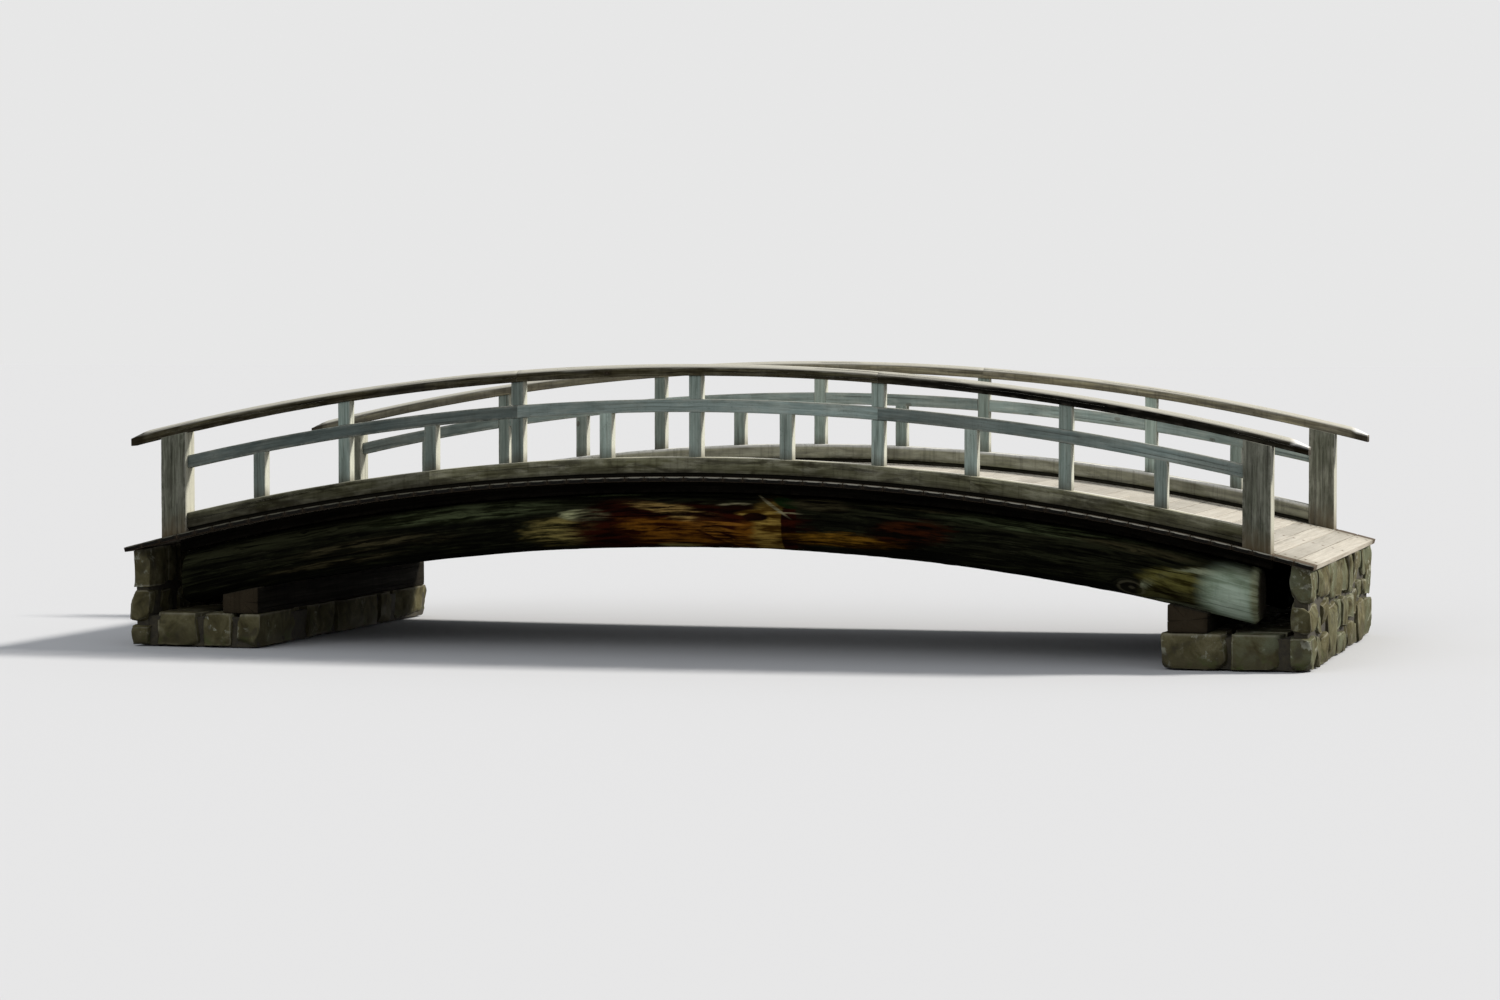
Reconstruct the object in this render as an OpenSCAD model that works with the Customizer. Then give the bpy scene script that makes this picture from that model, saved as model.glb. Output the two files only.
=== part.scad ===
// Moon bridge: an arched timber footbridge for a garden pond, in millimetres.
// X runs along the bridge, Y across it and Z up. Z is 0 at the water line and
// the middle of the span is at X 0. The front railing is on the -Y side.
// Every curved timber follows one arch, so all their arcs share one centre,
// and each level is a height above the deck, measured along the arch's radius.

/* [Arch] */
// Radius of the deck's walking surface
deck_radius = 18200; // [14000:100:30000]
// Height of the deck's top above the water at mid-span
crown_h = 1370; // [1300:10:1600]
// Distance between the centres of a railing's two end posts
post_span = 8400; // [7200:100:9600]
// Number of equal railing bays between the end posts
bays = 12; // [12]

/* [Deck] */
// Distance between the centre lines of the two railings
rail_gauge = 3700; // [3000:50:4200]
// Deck width outside each railing's centre line
deck_lip = 100; // [90:5:160]
// Deck length past the centre of each end post
deck_overrun = 420; // [300:10:520]
// Thickness of the deck boards
board_t = 40; // [25:1:60]
// Nearest width of a board with its joint, which is shared out along the arch
board_w = 153; // [120:1:200]
// Width of the open joint between two boards
board_gap = 5; // [3:1:8]
// Depth of the joints that show in the deck's top
joint_depth = 20; // [10:1:24]

/* [Beams] */
// Width of a joist
joist_w = 110; // [80:5:140]
// Height of a joist
joist_h = 90; // [60:5:120]
// Joist length past the centre of each end post
joist_overrun = 70; // [0:10:120]
// Diameter of a girder log
log_d = 470; // [430:10:520]
// Height of a girder between its flattened top and underside
girder_h = 420; // [340:10:425]
// Distance from the railing's centre line in to the outer girder's centre
girder_inset = 250; // [240:10:500]
// Girder length past the centre of each end post
girder_overrun = 0; // [-40:10:60]

/* [Abutments] */
// Distance from an end post's centre in to the front of an abutment
abutment_inset = 720; // [560:10:840]
// Distance from the railing's centre line out to the abutment's side
abutment_lip = 50; // [0:5:80]
// Thickness of the wall behind the girders
back_wall_t = 220; // [150:10:250]
// Width of a bearing sill along the bridge
sill_w = 300; // [200:10:360]
// Height of a bearing sill at its middle
sill_h = 175; // [120:5:200]
// Distance from the front of the ledge to the sill
sill_setback = 60; // [20:5:100]
// Depth that a girder is cut to sit over a sill
seat_cut = 15; // [5:1:30]

/* [Kerbs] */
// Width of a kerb
kerb_w = 140; // [120:5:160]
// Height of a kerb
kerb_h = 145; // [110:5:180]
// Height of the drip rebate along a kerb's lower edges
drip_h = 22; // [10:1:30]
// Depth of the drip rebate
drip_in = 25; // [10:1:30]

/* [Posts] */
// Width of a tall or short post, both ways
post_w = 100; // [80:5:115]
// Width of an end post along the bridge
end_post_w = 210; // [160:5:240]
// Depth of an end post across the bridge
end_post_d = 180; // [140:5:190]

/* [Rails] */
// Height of a mid rail's underside above the deck
mid_rail_rise = 476; // [400:2:520]
// Height of a mid rail
mid_rail_h = 100; // [70:2:120]
// Thickness of a mid rail
mid_rail_t = 100; // [60:5:110]
// Height of a top rail's underside above the deck
top_rail_rise = 747; // [700:1:900]
// Height of a top rail at its crown
top_rail_h = 92; // [70:2:120]
// Width of a top rail
top_rail_w = 130; // [110:5:160]
// Drop from a top rail's crown to its upper edges
crown_drop = 28; // [15:1:40]
// Width of the flat on a top rail's crown
crown_flat = 36; // [10:2:80]
// Top rail length past the outer face of each end post
rail_overrun = 260; // [150:10:320]
// Length of the splay cut at a top rail's ends
splay_l = 130; // [60:5:180]
// Depth of the splay cut at the tip
splay_d = 36; // [15:1:50]
// Working gap in the halved joints and seats
joint_gap = 0.3; // [0.1:0.1:0.8]

/* [Hidden] */
$fn = 96;
// Steps in a full turn about the arch's distant centre
arch_steps = 360;
// Angle that each half of a swept timber runs past the crown and past its end
lap_turn = 0.02;
SIDES = ["front", "back"];
ENDS = ["left", "right"];

// Colours
stone_tan = [0.60, 0.55, 0.42];
log_brown = [0.42, 0.34, 0.22];
dark_brown = [0.33, 0.26, 0.18];
board_pale = [0.80, 0.76, 0.68];
weathered = [0.50, 0.47, 0.40];
rail_brown = [0.46, 0.38, 0.29];

// The arch's centre and the radii of the levels
arch_z = crown_h - deck_radius;
board_under = deck_radius - board_t;
girder_top = board_under - joist_h;
girder_under = girder_top - girder_h;
kerb_top = deck_radius + kerb_h;
mid_under = deck_radius + mid_rail_rise;
mid_top = mid_under + mid_rail_h;
rail_under = deck_radius + top_rail_rise;
rail_top = rail_under + top_rail_h;

// Lengths from mid-span and widths from the centre line
bay = post_span / bays;
half_span = post_span / 2;
half_deck = half_span + deck_overrun;
half_width = rail_gauge / 2 + deck_lip;
post_face = half_span - end_post_w / 2;
girder_y = rail_gauge / 2 - girder_inset;
half_rail = half_span + end_post_w / 2 + rail_overrun;
abutment_x = half_span - abutment_inset;

// Angle about the arch's centre from mid-span to the deck's end, and for a board
deck_turn = asin(half_deck / deck_radius);
board_count = round(2 * deck_turn / 360 * 2 * PI * deck_radius / board_w);
board_turn = 2 * deck_turn / board_count;

// Distances from mid-span to a sill's two sides
sill_in = abutment_x + sill_setback;
sill_out = sill_in + sill_w;
// Spare length that carries a cutting shape clear of what it cuts
spare = 50;

// Height at distance x from mid-span of an arc of radius r
function arc_z(r, x) = arch_z + sqrt(r * r - x * x);
// Height at x of the line that touches that arc at distance x0 from mid-span
function tangent_z(r, x0, x) = arc_z(r, x0) - (x - x0) * x0 / sqrt(r * r - x0 * x0);
// Height of the bearing plane on a sill at distance x from mid-span
function seat_z(x) = arc_z(girder_under, x) + seat_cut;

// Height of an abutment's ledge, which the sills stand on
ledge_z = seat_z((sill_in + sill_out) / 2) - sill_h;

// Bring a shape drawn in X and Z to a plate that spans y0 to y1
module plate(y0, y1) {
    translate([0, y1, 0])
        rotate([90, 0, 0])
            linear_extrude(height = y1 - y0)
                children();
}

// Sweep a profile, drawn as (radius, width), along the arch and cut its ends
// upright at half_l from mid-span. r_low is the profile's smallest radius. The
// sweep is two halves that lap at the crown.
module arch_sweep(half_l, r_low) {
    turn = asin(half_l / r_low) + lap_turn;
    intersection() {
        for (end = ENDS)
            at_end(end)
                translate([0, 0, arch_z])
                    rotate([90, 0, 0])
                        rotate([0, 0, 90 - turn])
                            rotate_extrude(angle = turn + lap_turn, $fn = arch_steps)
                                children();
        translate([-half_l, -2 * half_width, 0])
            cube([2 * half_l, 4 * half_width, rail_top + arch_z + spare]);
    }
}

// Timber of rectangular section, y0 to y1 wide, between two radii
module arch_bar(half_l, r_in, r_out, y0, y1) {
    arch_sweep(half_l, r_in)
        translate([r_in, -y1])
            square([r_out - r_in, y1 - y0]);
}

// Place a piece on its railing and turn it so that +Y faces out
module on_side(side) {
    out = side == "front" ? -1 : 1;
    translate([0, out * rail_gauge / 2, 0])
        mirror([0, out < 0 ? 1 : 0, 0])
            children();
}

// Place a piece at its end, drawn for the right one
module at_end(end) {
    mirror([end == "left" ? 1 : 0, 0, 0])
        children();
}

// Section of an abutment: ledge in front, wall behind up to the boards
module abutment_section() {
    wall_x = half_deck - back_wall_t;
    polygon([
        [abutment_x, 0],
        [half_deck, 0],
        [half_deck, arc_z(board_under, half_deck)],
        [wall_x, arc_z(board_under, wall_x)],
        [wall_x, ledge_z],
        [abutment_x, ledge_z]
    ]);
}

module abutment(end) {
    reach = rail_gauge / 2 + abutment_lip;
    color(stone_tan)
        at_end(end)
            plate(-reach, reach)
                abutment_section();
}

// Section of a sill, or of the cut that seats a girder over it
module sill_section(bottom, gap) {
    polygon([
        [sill_in - gap, bottom],
        [sill_out + gap, bottom],
        [sill_out + gap, seat_z(sill_out)],
        [sill_in - gap, seat_z(sill_in)]
    ]);
}

module sill(end) {
    reach = girder_y + log_d / 2;
    color(dark_brown)
        at_end(end)
            plate(-reach, reach)
                sill_section(ledge_z, 0);
}

// Log beam: a round section with a flat top and underside, swept on the arch
module girder(y) {
    color(log_brown)
        difference() {
            translate([0, y, 0])
                arch_sweep(half_span + girder_overrun, girder_under)
                    intersection() {
                        translate([girder_under + girder_h / 2, 0])
                            circle(d = log_d);
                        translate([girder_under, -log_d / 2])
                            square([girder_h, log_d]);
                    }
            for (end = ENDS)
                at_end(end)
                    plate(y - log_d, y + log_d)
                        sill_section(0, joint_gap);
        }
}

module joist(y) {
    color(dark_brown)
        arch_bar(half_span + joist_overrun, girder_top, board_under, y - joist_w / 2, y + joist_w / 2);
}

// Boards laid across the joists as one solid, with their joints cut in the top
module deck() {
    color(board_pale)
        difference() {
            arch_bar(half_deck, board_under, deck_radius, -half_width, half_width);
            for (k = [1 : board_count - 1])
                translate([0, 0, arch_z])
                    rotate([0, k * board_turn - deck_turn, 0])
                        translate([-board_gap / 2, -half_width - spare, deck_radius - joint_depth])
                            cube([board_gap, 2 * half_width + 2 * spare, joint_depth + spare]);
        }
}

// Kerb between the end posts, with a drip rebate along both lower edges
module kerb(side) {
    core = kerb_w / 2 - drip_in;
    color(weathered)
        on_side(side)
            arch_sweep(post_face, deck_radius) {
                translate([deck_radius + drip_h, -kerb_w / 2])
                    square([kerb_h - drip_h, kerb_w]);
                translate([deck_radius, -core])
                    square([kerb_h, 2 * core]);
            }
}

// Upright of width w and depth d at distance x from mid-span. Its foot is cut
// to the slope of the arc at r_foot and its head to the arc at r_head.
module upright(x, w, d, r_foot, r_head) {
    x0 = x - w / 2;
    x1 = x + w / 2;
    plate(-d / 2, d / 2)
        polygon([
            [x0, tangent_z(r_foot, x, x0)],
            [x1, tangent_z(r_foot, x, x1)],
            [x1, arc_z(r_head, x1)],
            [x0, arc_z(r_head, x0)]
        ]);
}

module end_post(side, end) {
    color(weathered)
        on_side(side)
            at_end(end)
                upright(half_span, end_post_w, end_post_d, deck_radius, rail_under);
}

// Cut across the outer half of a tall post that takes the mid rail
module post_halving(x) {
    x0 = x - post_w;
    x1 = x + post_w;
    plate(-joint_gap, post_w)
        polygon([
            [x0, arc_z(mid_under - joint_gap, x0)],
            [x1, arc_z(mid_under - joint_gap, x1)],
            [x1, tangent_z(mid_top + joint_gap, x, x1)],
            [x0, tangent_z(mid_top + joint_gap, x, x0)]
        ]);
}

// Tall post k, which reaches the top rail
module tall_post(side, k) {
    x = 2 * k * bay - half_span;
    color(weathered)
        on_side(side)
            difference() {
                upright(x, post_w, post_w, kerb_top, rail_under);
                post_halving(x);
            }
}

// Short post k, which ends under the mid rail
module short_post(side, k) {
    x = (2 * k - 1) * bay - half_span;
    color(weathered)
        on_side(side)
            upright(x, post_w, post_w, kerb_top, mid_under);
}

// Mid rail between the end posts, with its inner half cut away at tall posts
module mid_rail(side) {
    notch = post_w / 2 + joint_gap;
    color(weathered)
        on_side(side)
            difference() {
                arch_bar(post_face, mid_under, mid_top, -mid_rail_t / 2, mid_rail_t / 2);
                for (k = [1 : bays / 2 - 1])
                    translate([2 * k * bay - half_span - notch, -mid_rail_t, 0])
                        cube([2 * notch, mid_rail_t, rail_top + arch_z]);
            }
}

// Section of a top rail, drawn as (radius, width): upright sides, two slopes
// that shed the rain and a narrow flat on the crown
module rail_profile() {
    edge = rail_top - crown_drop;
    polygon([
        [rail_under, -top_rail_w / 2],
        [edge, -top_rail_w / 2],
        [rail_top, -crown_flat / 2],
        [rail_top, crown_flat / 2],
        [edge, top_rail_w / 2],
        [rail_under, top_rail_w / 2]
    ]);
}

// Wedge that splays the right-hand tip of a top rail
module splay_wedge() {
    back = half_rail - splay_l;
    polygon([
        [back, arc_z(rail_top, back)],
        [half_rail + spare, arc_z(rail_top, half_rail) - splay_d * (1 + spare / splay_l)],
        [half_rail + spare, arc_z(rail_top, back) + spare]
    ]);
}

module top_rail(side) {
    color(rail_brown)
        on_side(side)
            difference() {
                arch_sweep(half_rail, rail_under)
                    rail_profile();
                for (end = ENDS)
                    at_end(end)
                        plate(-top_rail_w, top_rail_w)
                            splay_wedge();
            }
}

for (e = ENDS) {
    abutment(e);
    sill(e);
}
girder(-girder_y);  // front_girder
girder(0);  // middle_girder
girder(girder_y);  // back_girder
joist(-girder_y);  // front_joist
joist(0);  // middle_joist
joist(girder_y);  // back_joist
deck();
for (s = SIDES) {
    kerb(s);
    for (e = ENDS)
        end_post(s, e);
    for (k = [1 : bays / 2 - 1])
        tall_post(s, k);
    for (k = [1 : bays / 2])
        short_post(s, k);
    mid_rail(s);
    top_rail(s);
}
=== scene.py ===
import math
import bpy
import bmesh
import numpy as np
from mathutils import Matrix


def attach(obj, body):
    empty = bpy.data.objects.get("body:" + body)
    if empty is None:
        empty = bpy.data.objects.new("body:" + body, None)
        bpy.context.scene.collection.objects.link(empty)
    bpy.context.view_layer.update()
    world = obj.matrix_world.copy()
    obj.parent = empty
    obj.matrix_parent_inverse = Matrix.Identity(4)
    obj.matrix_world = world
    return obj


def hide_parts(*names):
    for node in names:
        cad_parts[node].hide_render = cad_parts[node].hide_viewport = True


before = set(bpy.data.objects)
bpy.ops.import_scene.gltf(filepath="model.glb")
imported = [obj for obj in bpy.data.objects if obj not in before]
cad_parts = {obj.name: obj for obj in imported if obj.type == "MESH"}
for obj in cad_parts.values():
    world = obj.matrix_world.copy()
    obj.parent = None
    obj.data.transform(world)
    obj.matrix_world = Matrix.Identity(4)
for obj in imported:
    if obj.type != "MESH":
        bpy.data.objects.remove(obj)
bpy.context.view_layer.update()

scene = bpy.context.scene

# the one arch that every curved timber follows: radii about its centre, metres
arch = {
    "centreZ": -16.83, "girderUnder": 17.65, "girderTop": 18.07, "boardUnder": 18.16, "deck": 18.2,
    "kerbTop": 18.345, "midUnder": 18.676, "midTop": 18.776, "railUnder": 18.947, "railTop": 19.039,
}
plan = {"halfSpan": 4.2, "bay": 0.7, "railY": 1.85, "girderY": 1.6, "halfDeck": 4.62, "halfWidth": 1.95}


def arcZ(radius, x):
    return arch["centreZ"] + np.sqrt(radius * radius - x * x)


def tangentZ(radius, x0, x):
    return arcZ(radius, x0) - (x - x0) * x0 / math.sqrt(radius * radius - x0 * x0)


# noise

def latticeValue(ix, iy, iz, seed):
    n = (ix * 73856093) ^ (iy * 19349663) ^ (iz * 83492791) ^ (seed * 265443576)
    n = ((n ^ (n >> 15)) & 0x7fffffff) * 0x2c1b3c6d & 0x7fffffff
    n = ((n ^ (n >> 12)) & 0x7fffffff) * 0x297a2d39 & 0x7fffffff
    return ((n ^ (n >> 15)) & 0xffff) / 65535.0


def softNoise(x, y, z, seed=0):     # 0 to 1
    x, y, z = np.broadcast_arrays(x, y, z)
    ix, iy, iz = (np.floor(v).astype(np.int64) for v in (x, y, z))
    fx, fy, fz = x - ix, y - iy, z - iz
    fx, fy, fz = (f * f * (3 - 2 * f) for f in (fx, fy, fz))
    total = np.zeros(x.shape)
    for dx in (0, 1):
        for dy in (0, 1):
            for dz in (0, 1):
                share = (fx if dx else 1 - fx) * (fy if dy else 1 - fy) * (fz if dz else 1 - fz)
                total += share * latticeValue(ix + dx, iy + dy, iz + dz, seed)
    return total


def layeredNoise(x, y, z, seed=0, octaves=3):
    total, weight = 0.0, 0.0
    for k in range(octaves):
        total = total + softNoise(x * 2 ** k, y * 2 ** k, z * 2 ** k, seed + 17 * k) / 2 ** k
        weight += 1 / 2 ** k
    return total / weight


# timber sections

def closeOutline(rows):
    table = np.array(rows + [rows[0]], float)
    steps = np.hypot(np.diff(table[:, 0]), np.diff(table[:, 1]))
    along = np.concatenate([[0], np.cumsum(steps)])
    return {"p": along, "length": along[-1], "a": table[:, 0], "b": table[:, 1],
            "na": table[:, 2], "nb": table[:, 3], "arris": table[:, 4],
            "middle": table[:-1, :2].mean(axis=0)}


eased = {"facets": 3, "margin": 0.012, "marginWear": 0.25}


def easedOutline(corners, easing, step):    # corners run anticlockwise
    corners = [np.array(c, float) for c in corners]
    count = len(corners)
    bends = []
    for i, here in enumerate(corners):
        inDir = here - corners[i - 1]
        outDir = corners[(i + 1) % count] - here
        inDir, outDir = inDir / np.linalg.norm(inDir), outDir / np.linalg.norm(outDir)
        turn = math.atan2(inDir[0] * outDir[1] - inDir[1] * outDir[0], inDir @ outDir)
        bends.append((inDir, outDir, turn, easing * math.tan(turn / 2) if turn > 0 else 0.0))
    rows = []
    for i, here in enumerate(corners):
        inDir, outDir, turn, cut = bends[i]
        normal = np.array([inDir[1], -inDir[0]])
        if turn > 0:
            centre = here - inDir * cut - normal * easing
            for k in range(eased["facets"] + 1):
                part = turn * k / eased["facets"]
                c, s = math.cos(part), math.sin(part)
                n = np.array([normal[0] * c - normal[1] * s, normal[0] * s + normal[1] * c])
                rows.append((*(centre + n * easing), *n, 1.0 if 0 < k < eased["facets"] else 0.7))
        else:
            n = normal + np.array([outDir[1], -outDir[0]])
            rows.append((*here, *(n / np.linalg.norm(n)), 0.0))
        faceStart = here + outDir * cut
        faceEnd = corners[(i + 1) % count] - outDir * bends[(i + 1) % count][3]
        length = np.linalg.norm(faceEnd - faceStart)
        parts = max(2, int(round(length / step)))
        for k in range(1, parts):
            point = faceStart + (faceEnd - faceStart) * k / parts
            edge = min(k, parts - k) * length / parts
            rows.append((*point, outDir[1], -outDir[0], eased["marginWear"] if edge < eased["margin"] else 0.0))
    return closeOutline(rows)


def logOutline(diameter, middle, low, high, count):
    rows = []
    for k in range(count):
        angle = 2 * math.pi * k / count
        a, b = diameter / 2 * math.cos(angle), middle + diameter / 2 * math.sin(angle)
        flat = b < low or b > high
        normal = (0.0, math.copysign(1, b - middle)) if flat else (math.cos(angle), math.sin(angle))
        nearFlat = math.exp(-((min(b - low, high - b)) / eased["margin"]) ** 2)
        rows.append((a, min(max(b, low), high), *normal, nearFlat))
    return closeOutline(rows)


def sectionAt(outline, p):
    q = np.mod(p, outline["length"])
    return [np.interp(q, outline["p"], outline[key]) for key in ("a", "b", "na", "nb", "arris")]


checkRules = {"apart": 0.024, "clearOfArris": 0.012, "tries": 12, "throughAnEnd": 0.3}


def roundGap(a, b, total):    # how far apart two places round a closed outline are
    return abs((a - b + total / 2) % total - total / 2)


def drawChecks(outline, start, end, rng, amount, sizes):
    # drying checks: lines along the grain at places round the section, each with its own spans
    found = []
    for _ in range(amount * checkRules["tries"]):
        if len(found) == amount:
            break
        at = rng.uniform(0, outline["length"])
        gaps = [roundGap(at, other["at"], outline["length"]) for other in found]
        clear = checkRules["clearOfArris"]
        arris = max(sectionAt(outline, at + aside)[4] for aside in (-clear, 0.0, clear))
        if arris > 0.5 or (gaps and min(gaps) < checkRules["apart"]):
            continue
        spans = []
        for _ in range(1 + int((end - start) / max(1.0, sizes["length"][1] * 2))):
            length = rng.uniform(*sizes["length"])
            middle = rng.uniform(start, end)
            if rng.random() < checkRules["throughAnEnd"]:
                middle = start if rng.random() < 0.5 else end
            spans.append((middle - length / 2, middle + length / 2,
                          rng.uniform(*sizes["width"]), rng.uniform(*sizes["depth"])))
        found.append({"at": at, "spans": spans, "wander": sizes["wander"], "seed": int(rng.integers(1, 9999))})
    return found


# one sawn or round timber, swept along its grain; its mesh attributes tell the materials where the
# arrises, checks and end grain are; a shape's pitch spaces its points along the grain, its step
# spaces them round the section, and its ease rounds off the ends
sweep = {"capScales": (0.3, 0.65, 1.0), "easeStep": 0.3, "clearOfCheck": 0.0075, "hairline": 0.0004,
         "wanderLength": 0.22, "pithSpread": 0.05, "grainSpread": 40,
         "waveWidth": 0.11, "fibreSize": (0.3, 0.01), "wearSize": (0.1, 0.05)}


def timber(start, end, outline, place, shape, checkRng, checkCount, seed, notches=(), extra=None):
    checks = drawChecks(outline, start, end, checkRng, checkCount, shape["checks"])
    rng = np.random.default_rng(seed)
    ease = shape["ease"]
    bounds = [start + ease]
    for s0, s1, cut in notches:
        bounds += [max(s0, start + ease), min(s1, end - ease)]
    bounds.append(end - ease)
    rows = []    # station, inset, cap scale, notch
    for k, (low, high) in enumerate(zip(bounds[:-1], bounds[1:])):
        if high - low < 1e-6:
            continue
        count = max(1, int(math.ceil((high - low) / shape["pitch"])))
        notch = (k - 1) // 2 if k % 2 else -1
        rows += [(s, 0.0, 1.0, notch) for s in np.linspace(low, high, count + 1)]
    first, last = rows[0][3], rows[-1][3]
    step = sweep["easeStep"] * ease
    head = [(start, ease, scale, first) for scale in sweep["capScales"]] + [(start + step, step, 1.0, first)]
    tail = [(end - step, step, 1.0, last)] + [(end, ease, scale, last) for scale in sweep["capScales"][::-1]]
    rowS, rowInset, rowScale, rowNotch = np.array(head + rows + tail).T
    count = len(rowS)

    total = outline["length"]
    columns = [(p, 0, -1) for p in outline["p"][:-1]    # place round the section, side of a check, check
               if all(roundGap(p, check["at"], total) > sweep["clearOfCheck"] for check in checks)]
    columns += [(check["at"], side, k) for k, check in enumerate(checks) for side in (-1, 0, 1)]
    columns.sort(key=lambda column: column[0] + column[1] * 1e-4)
    places, side, owner = (np.array(values) for values in zip(*columns))
    p = np.tile(places, (count, 1))
    deep, crack = np.zeros(p.shape), np.zeros(p.shape)
    for k, check in enumerate(checks):
        opened, wide, depth = (np.zeros(count) for _ in range(3))
        for s0, s1, w, d in check["spans"]:
            t = np.clip((rowS - s0) / (s1 - s0), 0, 1)
            bulge = np.sin(np.pi * t) ** 0.6 * (t > 0) * (t < 1)
            opened, wide, depth = (np.maximum(was, now * bulge) for was, now in ((opened, 1), (wide, w), (depth, d)))
        drift = softNoise(rowS / sweep["wanderLength"], 0.5, check["seed"] * 0.1, check["seed"]) - 0.5
        wander = check["wander"] * 2 * drift
        mine = owner == k
        p[:, mine] += wander[:, None] + side[mine][None, :] * (sweep["hairline"] + 0.5 * wide[:, None])
        centre = mine & (side == 0)
        deep[:, centre] = depth[:, None]
        crack[:, centre] = np.minimum(1, opened * 3)[:, None]
        crack[:, mine & (side != 0)] = 0.2 * np.minimum(1, opened * 3)[:, None]

    a, b, na, nb, arris = sectionAt(outline, p)
    s = np.tile(rowS[:, None], (1, len(columns)))
    ca, cb = outline["middle"]
    grainA, grainB = a - ca, b - cb
    (fibreLong, fibreWide), (wearLong, wearWide) = sweep["fibreSize"], sweep["wearSize"]
    push = shape["wave"] * layeredNoise(s / shape["waveLength"], a / sweep["waveWidth"], b / sweep["waveWidth"], seed)
    push = push + shape["fibre"] * softNoise(s / fibreLong, a / fibreWide, b / fibreWide, seed + 5)
    push = push + arris * shape["wear"] * layeredNoise(s / wearLong, a / wearWide, b / wearWide, seed + 9) ** 2
    push = push + deep * np.where(rowScale < 1, 0.0, 1.0)[:, None] + rowInset[:, None]
    if extra:
        push = push - extra(s, a, b, grainA, grainB)
    scale = rowScale[:, None]
    a = ca + (a - na * push - ca) * scale
    b = cb + (b - nb * push - cb) * scale
    inward = np.zeros(count)
    inward[:3], inward[-3:] = 1.0, -1.0
    s = s + inward[:, None] * deep * 0.5    # an end check opens the end grain too
    points = place(s, a, b)
    for k, (s0, s1, cut) in enumerate(notches):
        hit = rowNotch == k
        if hit.any():
            points[hit] = cut(points[hit])
    tips = place(np.array([[start], [end]]), np.full((2, 1), ca), np.full((2, 1), cb))
    for tip, notch in enumerate((first, last)):
        if notch >= 0:
            tips[tip] = notches[notch][2](tips[tip])

    height, width = p.shape
    near = np.arange(height * width).reshape(height, width)
    far = np.roll(near, -1, axis=1)
    quads = np.stack([near[:-1], far[:-1], far[1:], near[1:]], axis=-1).reshape(-1, 4)
    startTip, endTip = height * width, height * width + 1
    fan = [(startTip, far[0, j], near[0, j]) for j in range(width)]
    fan += [(endTip, near[-1, j], far[-1, j]) for j in range(width)]

    def flat(values):    # one value per vertex, the two tips last
        values = np.broadcast_to(values, p.shape)
        return np.concatenate([values.reshape(-1), [values[0, 0], values[-1, 0]]])

    slide, aside = sweep["grainSpread"], sweep["pithSpread"]
    shift = rng.uniform(-slide, slide, 3) * (1, 0, 0) + (0, *rng.uniform(-aside, aside, 2))
    shift = shift + shape.get("pith", (0, 0, 0))
    lay = np.stack([s, grainA * scale, grainB * scale], axis=-1).reshape(-1, 3)
    lay = np.vstack([lay, [[start, 0, 0], [end, 0, 0]]])
    values = {
        "grain": lay + shift, "lay": lay, "arris": flat(arris), "tone": np.full(len(lay), rng.random()),
        "crack": np.concatenate([(crack * np.where(scale < 1, scale, 1)).reshape(-1), [0, 0]]),
        "endGrain": flat(np.where(scale < 1, 1.0, np.where(rowInset[:, None] == ease, 0.8, 0.0))),
        "grime": np.zeros(len(lay)),
    }
    points = np.vstack([points.reshape(-1, 3), tips.reshape(-1, 3)])
    return {"points": points, "quads": quads, "fan": fan, "values": values}


mergeWithin = 2e-5


def makePiece(name, parts, materials, nodes, tidy=False, sharp=38):
    # tidy merges what a notch pressed flat; sharp is the angle from which an edge stays sharp, degrees
    points = np.vstack([part["points"] for part in parts])
    faces, materialIndex, offset = [], [], 0
    for part in parts:
        quads = (np.asarray(part["quads"]) + offset).tolist() if len(part["quads"]) else []
        fan = [[v + offset for v in f] for f in part["fan"]]
        faces += quads + fan
        materialIndex += [part.get("material", 0)] * (len(quads) + len(fan))
        offset += len(part["points"])
    mesh = bpy.data.meshes.new(name)
    mesh.from_pydata(points.tolist(), [], faces)
    mesh.polygons.foreach_set("material_index", materialIndex)
    for key in parts[0]["values"]:
        data = np.concatenate([part["values"][key] for part in parts])
        kind, field = ("FLOAT_VECTOR", "vector") if data.ndim == 2 else ("FLOAT", "value")
        mesh.attributes.new(key, kind, "POINT").data.foreach_set(field, data.reshape(-1))
    edit = bmesh.new()
    edit.from_mesh(mesh)
    if tidy:
        bmesh.ops.remove_doubles(edit, verts=edit.verts, dist=mergeWithin)
        bmesh.ops.dissolve_degenerate(edit, edges=edit.edges, dist=mergeWithin)
    bmesh.ops.recalc_face_normals(edit, faces=edit.faces)
    edit.to_mesh(mesh)
    edit.free()
    mesh.polygons.foreach_set("use_smooth", [True] * len(mesh.polygons))
    mesh.set_sharp_from_angle(angle=math.radians(sharp))
    for material in materials:
        mesh.materials.append(material)
    piece = bpy.data.objects.new(name, mesh)
    scene.collection.objects.link(piece)
    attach(piece, "root")
    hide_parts(*nodes)


# shader helpers

def plug(tree, sockets, values):    # links what is a socket, sets what is a constant
    for key, value in values.items():
        if isinstance(value, bpy.types.NodeSocket):
            tree.links.new(value, sockets[key])
        elif sockets[key].type == "RGBA" and len(value) == 3:
            sockets[key].default_value = (*value, 1)
        else:
            sockets[key].default_value = value


def addNode(tree, kind, inputs=None, **settings):
    node = tree.nodes.new(kind)
    for key, value in settings.items():
        setattr(node, key, value)
    plug(tree, node.inputs, inputs or {})
    return node


def mathOut(tree, operation, *values, clamp=False):
    return addNode(tree, "ShaderNodeMath", dict(enumerate(values)), operation=operation, use_clamp=clamp).outputs[0]


def times(tree, a, b, clamp=False):
    return mathOut(tree, "MULTIPLY", a, b, clamp=clamp)


def plus(tree, a, b):
    return mathOut(tree, "ADD", a, b)


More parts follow.
